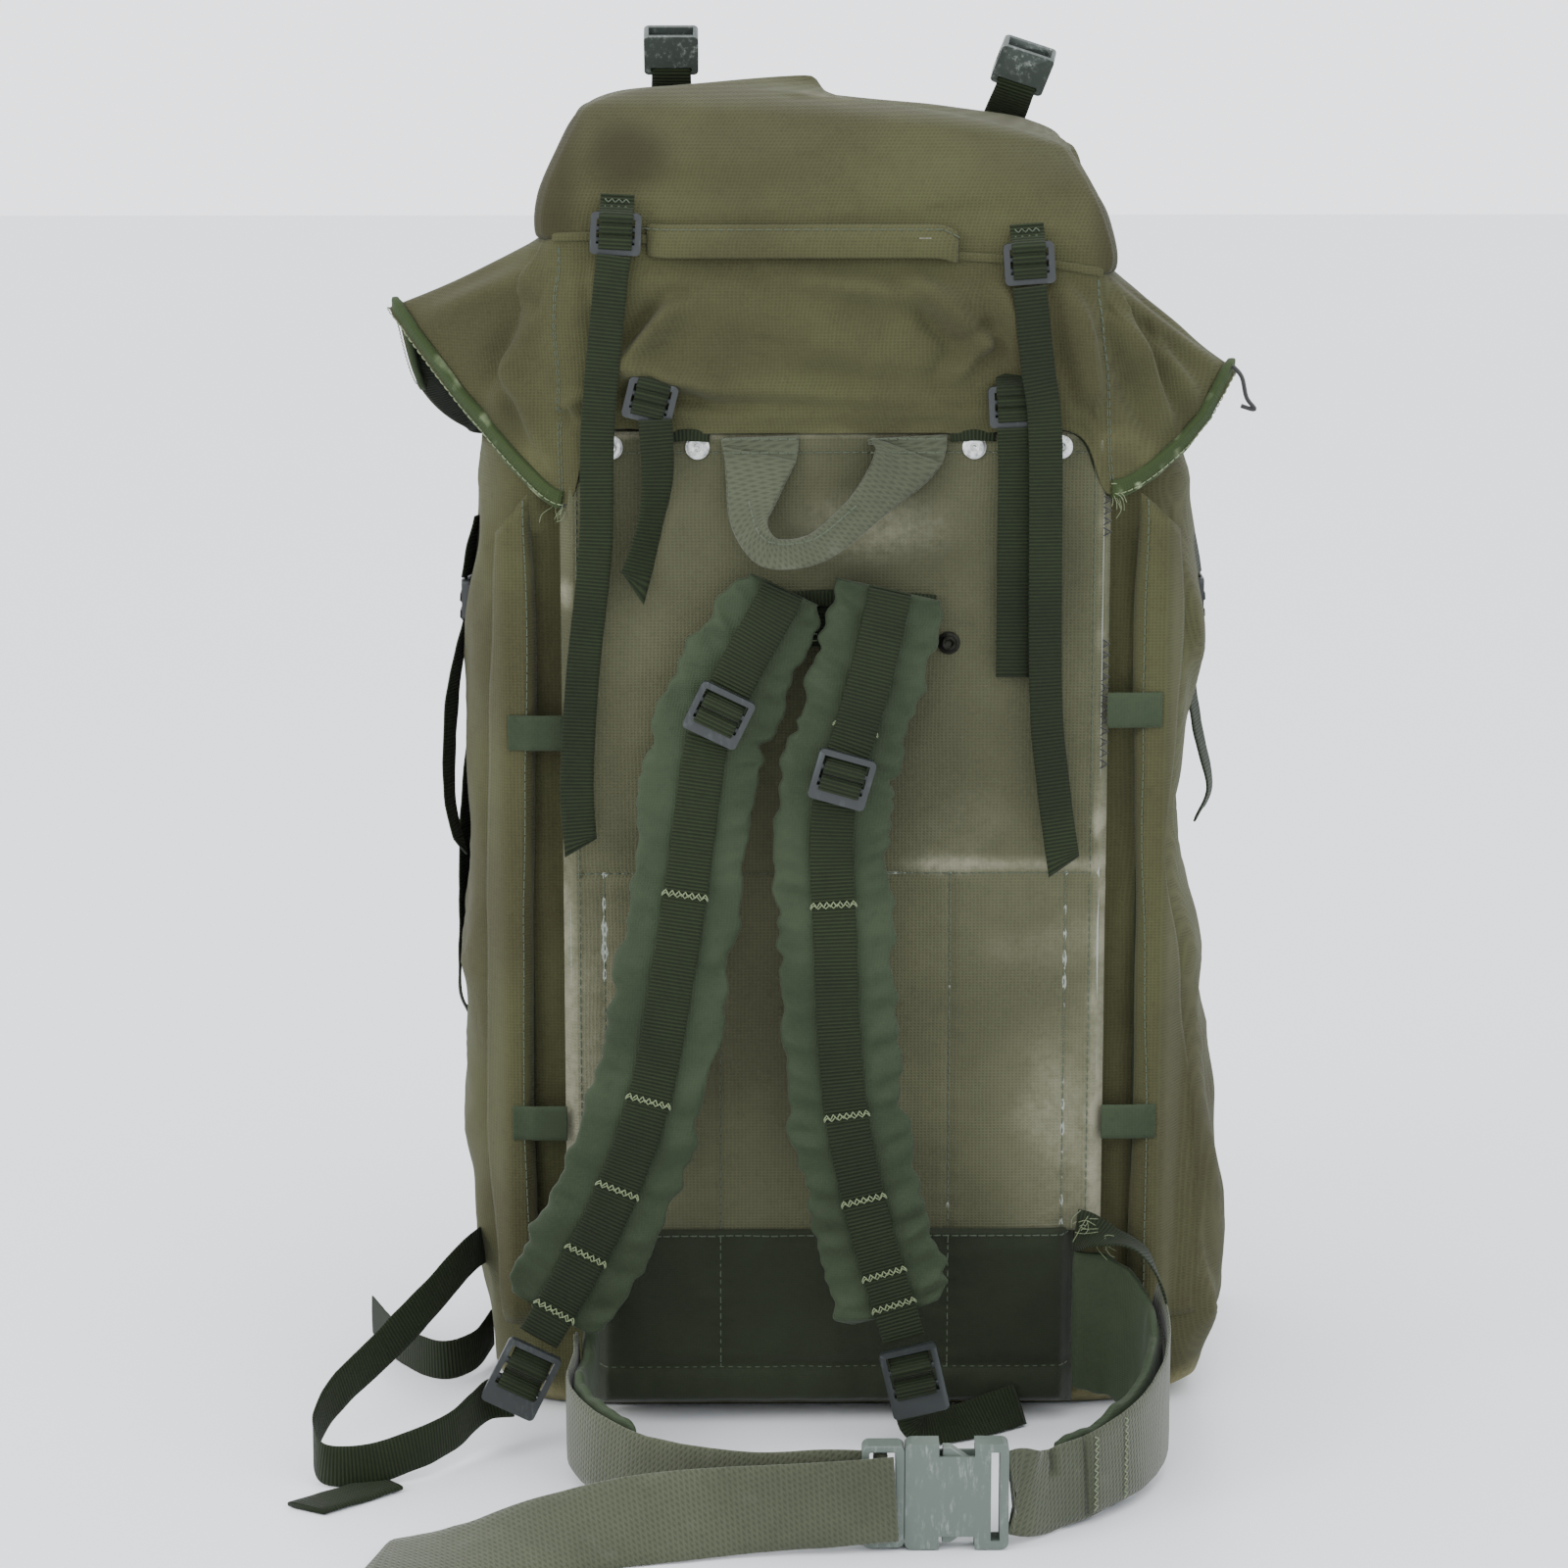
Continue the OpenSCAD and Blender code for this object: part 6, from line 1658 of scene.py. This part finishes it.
def make_front_pouch(sizes):
    """Bellows pouch: a slack open box of canvas with a bound rim, and its flap over it."""
    low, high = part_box("front_pouch")
    x0, x1, z0, z1 = low.x / MM, high.x / MM, low.z / MM, high.z / MM
    y0, y1 = low.y / MM, high.y / MM
    rings = []
    loop = dense(rounded_loop(x0, x1, y0 + 0.4, y1 - 1, 0, 9), 5)
    for i in range(51):
        z = z0 + (z1 - z0) * i / 50
        tuck = 6 * (1 - ease(0, 14, z - z0)) ** 2
        ring = []
        for x, y, _ in loop:
            p = Vector((x * (1 - tuck / x1), y - tuck * (y - y0) / (y1 - y0), z))
            if y > y0 + 3:
                sag = 2.2 * fold_noise(p, 60, 6) * ease(0, 30, z - z0) * ease(0, 26, z1 - z)
                front = ease(y1 - 20, y1 - 6, y)
                swell = min(2.5, sag + 2 * math.sin(math.pi * (z - z0) / (z1 - z0)))
                p += Vector((math.copysign(sag * 0.8, x) * (1 - front), swell * front, 0))
            ring.append(p)
        rings.append(ring)
    middle = (y0 + y1) / 2
    base = [[(q[0] * k, middle + (q[1] - middle) * k, z0) for q in rings[0]] for k in (1, 0.6, 0.05)]
    obj = piece("front_pouch_canvas", joined([skin(rings), skin(base, caps=True)]), "canvas",
                stands_for=["front_pouch"], solid=sizes.canvas)
    wear(obj, lambda p: 0.5 * (1 - ease(2, 8, z1 - p[2])) + 0.5 * ease(6, 0, p[2] - z0))
    rows = [stitches([(x, y1 + 0.6, z1 - 9) for x in range(round(x0) + 8, round(x1) - 7, 3)],
                     (0, 1, 0), sizes.thread / MM)]
    low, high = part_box("pouch_flap")
    fx0, fx1 = low.x / MM, high.x / MM
    top = high.z / MM - 1.2
    face = high.y / MM - 1
    path = smooth([(y0 + 3, top - 0.3), ((y0 + face) / 2, top + 0.8), (face - 6, top - 0.6),
                   (face - 1, top - 5), (face, top - 14), (face + 0.3, top - 34),
                   (face - 0.2, low.z / MM + 1)], 7)
    rings = []
    for i, (y, z) in enumerate(path):
        ring = []
        for j in range(61):
            x = fx0 + (fx1 - fx0) * j / 60
            droop = 5 * (abs(j - 30) / 30) ** 6 * ease(len(path) - 10, len(path) - 1, i)
            wave = 0.8 * fold_noise((x, y, z), 44, 8)
            ring.append((x, y + (wave * 0.6 if i > 20 else 0), z + droop + (min(0.8, wave) if i < 16 else 0)))
        rings.append(ring)
    flap = piece("pouch_flap_canvas", skin(rings, closed=False), "canvas", "flap",
                 ["pouch_flap"], solid=sizes.canvas)
    wear(flap, lambda p: 0.5 * (1 - ease(2, 9, p[2] - low.z / MM)))
    piece("pouch_rim_stitches", joined(rows), "dark_thread")
    hem = [(x, face + 1.0, low.z / MM + 8) for x in range(round(fx0) + 6, round(fx1) - 5, 3)]
    piece("pouch_flap_stitches", stitches(hem, (0, 1, 0), sizes.thread / MM), "dark_thread", "flap")


def make_collar(sizes):
    """Drawcord collar under the lid: thin cloth, gathered a little on its cord."""
    low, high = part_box("snow_collar")
    x0, x1, y0, y1 = low.x / MM, high.x / MM, low.y / MM, high.y / MM
    z0, z1 = low.z / MM, high.z / MM
    loop = dense(rounded_loop(x0 + 12, x1 - 12, y0 + 2, y1 - 2, z0, 96), 5)

    def drawn_in(z):
        return 26 * ((z - z0) / (z1 - z0)) ** 2

    rings = []
    for i in range(13):
        t = i / 12
        ring = []
        for k, (x, y, _) in enumerate(loop):
            out = Vector((x, y, 0)).normalized()
            z = z0 + (z1 - z0) * t
            wave = 1.7 * math.sin(k * 1.25) * t * t - drawn_in(z)
            ring.append(Vector((x, y, z)) + out * wave)
        rings.append(ring)
    obj = piece("collar_cloth", skin(rings), "pad", stands_for=["snow_collar"],
                solid=0.7 * MM)
    wear(obj, lambda p: 0.2)
    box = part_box("collar_drawcord")
    r = (box[1].z - box[0].z) / 2 / MM
    z = (box[0].z + box[1].z) / 2 / MM
    loop = [Vector((x, y, 0)) for x, y, _ in loop]
    loop = [tuple(p - p.normalized() * (drawn_in(z) + r + 1.5) + UP * z) for p in loop]
    piece("collar_cord", tube(loop + loop[:1], r * 0.95, 10), "cord", stands_for=["collar_drawcord"])


def make_top_straps(sizes):
    """Webbing tabs on the lid that hold the two open buckle sockets."""
    parts = []
    for x, y, lean, lift in ((-96.5, 68, 0, 4), (112, 60, 18, -4)):
        tilt = Matrix.Rotation(math.radians(lean), 3, "Y")
        roll = Matrix.Rotation(math.radians(38), 3, "X")
        turn = tilt @ roll
        at = Vector((x, y, 785 + lift))
        stations = []
        for dy, dz, w in ((-1.5, -19, 25), (-3.0, -10, 25), (-3.8, -2, 24.5), (-3.6, 5, 24),
                          (-1.8, 9.4, 24), (1.5, 10.4, 24), (5.5, 9.6, 24)):
            p = at + turn @ Vector((0, dy, dz))
            out = turn @ Vector((0, -1, 0.25 if dz < 8 else 1.4))
            stations.append(tuple(p) + tuple(out) + (w,))
        parts.append(band(smooth(stations, 5), 1.8, ripple=0.5, seed=x))
    piece("lid_tab_webbing", joined(parts), "webbing", "lid", ["lid_tabs"])


# ------------------------------------------------------------ fittings from the frame

FITTINGS = (
    ("lid_locks", "acetal", 0.5), ("side_locks", "acetal", 0.5), ("strap_slides_left", "acetal", 0.5),
    ("strap_slides_right", "acetal", 0.5), ("lower_lock_left", "acetal", 0.6),
    ("lower_lock_right", "acetal", 0.6), ("front_strap_tips", "acetal", 0.5),
    ("cord_lock_barrel", "acetal", 0.5), ("cord_lock_plunger", "acetal", 0.5),
    ("cord_lock_spring", "spring", 0), ("buckle_plug", "buckle", 0.7), ("buckle_socket", "buckle", 0.7),
    ("prong_top", "buckle", 0.5), ("prong_bottom", "buckle", 0.5), ("lid_sockets", "pale", 0.5),
    ("frame_rivets", "rivet", 0.3), ("frame_stays", "rivet", 0.4), ("frame_sheet", "sheet", 0.3),
    ("back_foam", "foam", 0), ("side_slider_left", "zinc", 0.3), ("side_slider_right", "zinc", 0.3),
    ("lid_zip_slider", "zinc", 0.3), ("pouch_snap_caps", "brass", 0.3), ("pouch_snap_studs", "brass", 0.3),
)


def dress_fittings(sizes):
    """Gives the frame's own hard parts their finish, and takes off their sharp edges."""
    for name, finish, edge in FITTINGS:
        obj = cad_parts[name]
        obj.data.materials.clear()
        obj.data.materials.append(MATERIALS[finish])
        if edge:
            weld = obj.modifiers.new("weld", "WELD")
            weld.merge_threshold = 1e-6
            round_off = obj.modifiers.new("moulded edges", "BEVEL")
            round_off.width, round_off.segments = edge * MM, 2
            round_off.limit_method, round_off.angle_limit = "ANGLE", math.radians(40)


# ------------------------------------------------------------ operators

def step(name, label, text, work):
    """One operator that makes a group of pieces."""
    def execute(self, context):
        work(context.scene.rucksack_sizes)
        return {"FINISHED"}
    return type("RUCKSACK_OT_" + name, (Operator,), {
        "__doc__": text, "bl_idname": "rucksack." + name, "bl_label": label, "execute": execute})


def set_finishes(sizes):
    """Mixes the finishes from the colours, which are a group of their own."""
    mix_finishes(bpy.context.scene.rucksack_colours)


STEPS = (
    step("stage", "Stage", "Sets the camera, the lights and the pale floor", make_stage),
    step("finishes", "Finishes", "Mixes every cloth, plastic and metal finish", set_finishes),
    step("sack", "Sack", "Sews the slack canvas sack and its base patch", make_sack),
    step("side_flaps", "Side flaps", "Lays the weather flaps over the side zips", make_side_flaps),
    step("zips", "Zips", "Makes the tapes and teeth of the zips", make_zips),
    step("back_panel", "Back panel", "Makes the quilted and faded back panel", make_back_panel),
    step("rivets", "Rivets", "Sets the rolled heads of the frame's rivets", make_rivets),
    step("snap", "Snap", "Sets the press stud on the back panel", make_snap),
    step("lumbar", "Lumbar pad", "Quilts the lumbar pad and the strap yoke", make_lumbar),
    step("hood", "Hood", "Folds the lid's hood with its bound wings", make_hood),
    step("lid_pocket", "Lid pocket", "Makes the lid's domed pocket", make_lid_pocket),
    step("lid_straps", "Lid straps", "Hangs the lid's webbing tails", make_lid_straps),
    step("top_straps", "Top straps", "Makes the tabs of the lid's buckle sockets", make_top_straps),
    step("haul_handle", "Haul handle", "Folds the haul handle", make_haul_handle),
    step("shoulder_pads", "Shoulder pads", "Stuffs the two shoulder pads", make_shoulder_pads),
    step("shoulder_webbing", "Shoulder webbing", "Sews the webbing down both pads", make_shoulder_webbing),
    step("lower_straps", "Lower straps", "Lays the straps from the sack's corners", make_lower_straps),
    step("hip_pads", "Hip pads", "Stuffs the waist belt's wings", make_hip_pads),
    step("belt", "Belt", "Sews the twill belt and its loose end", make_belt),
    step("side_straps", "Side straps", "Hangs the side compression straps", make_side_straps),
    step("front_straps", "Front straps", "Hangs the lid's front straps", make_front_straps),
    step("front_pouch", "Front pouch", "Makes the front pouch and its flap", make_front_pouch),
    step("collar", "Collar", "Gathers the drawcord collar", make_collar),
    step("fittings", "Fittings", "Finishes the plastic and metal fittings", dress_fittings),
)


class RUCKSACK_PT_panel(Panel):
    """The rucksack's sizes, colours and making steps."""
    bl_idname = "RUCKSACK_PT_panel"
    bl_label = "Rucksack"
    bl_space_type = "VIEW_3D"
    bl_region_type = "UI"
    bl_category = "Rucksack"

    def draw(self, context):
        for group in (context.scene.rucksack_sizes, context.scene.rucksack_colours):
            box = self.layout.box()
            for key in group.bl_rna.properties.keys():
                if key not in ("rna_type", "name"):
                    box.prop(group, key)
        for made in STEPS:
            self.layout.operator(made.bl_idname)


CLASSES = (RucksackSizes, RucksackColours) + STEPS + (RUCKSACK_PT_panel,)


def register():
    """Adds the property groups, the operators and the panel."""
    for made in CLASSES:
        bpy.utils.register_class(made)
    bpy.types.Scene.rucksack_sizes = PointerProperty(type=RucksackSizes)
    bpy.types.Scene.rucksack_colours = PointerProperty(type=RucksackColours)


def unregister():
    """Takes off what register added, in the reverse order."""
    del bpy.types.Scene.rucksack_colours
    del bpy.types.Scene.rucksack_sizes
    for made in reversed(CLASSES):
        bpy.utils.unregister_class(made)


def main():
    """Makes the rucksack step by step, and writes its size before and after."""
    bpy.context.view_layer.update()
    register()
    for made in STEPS:
        getattr(bpy.ops.rucksack, made.bl_idname.split(".")[1])()


if __name__ == "__main__":
    main()
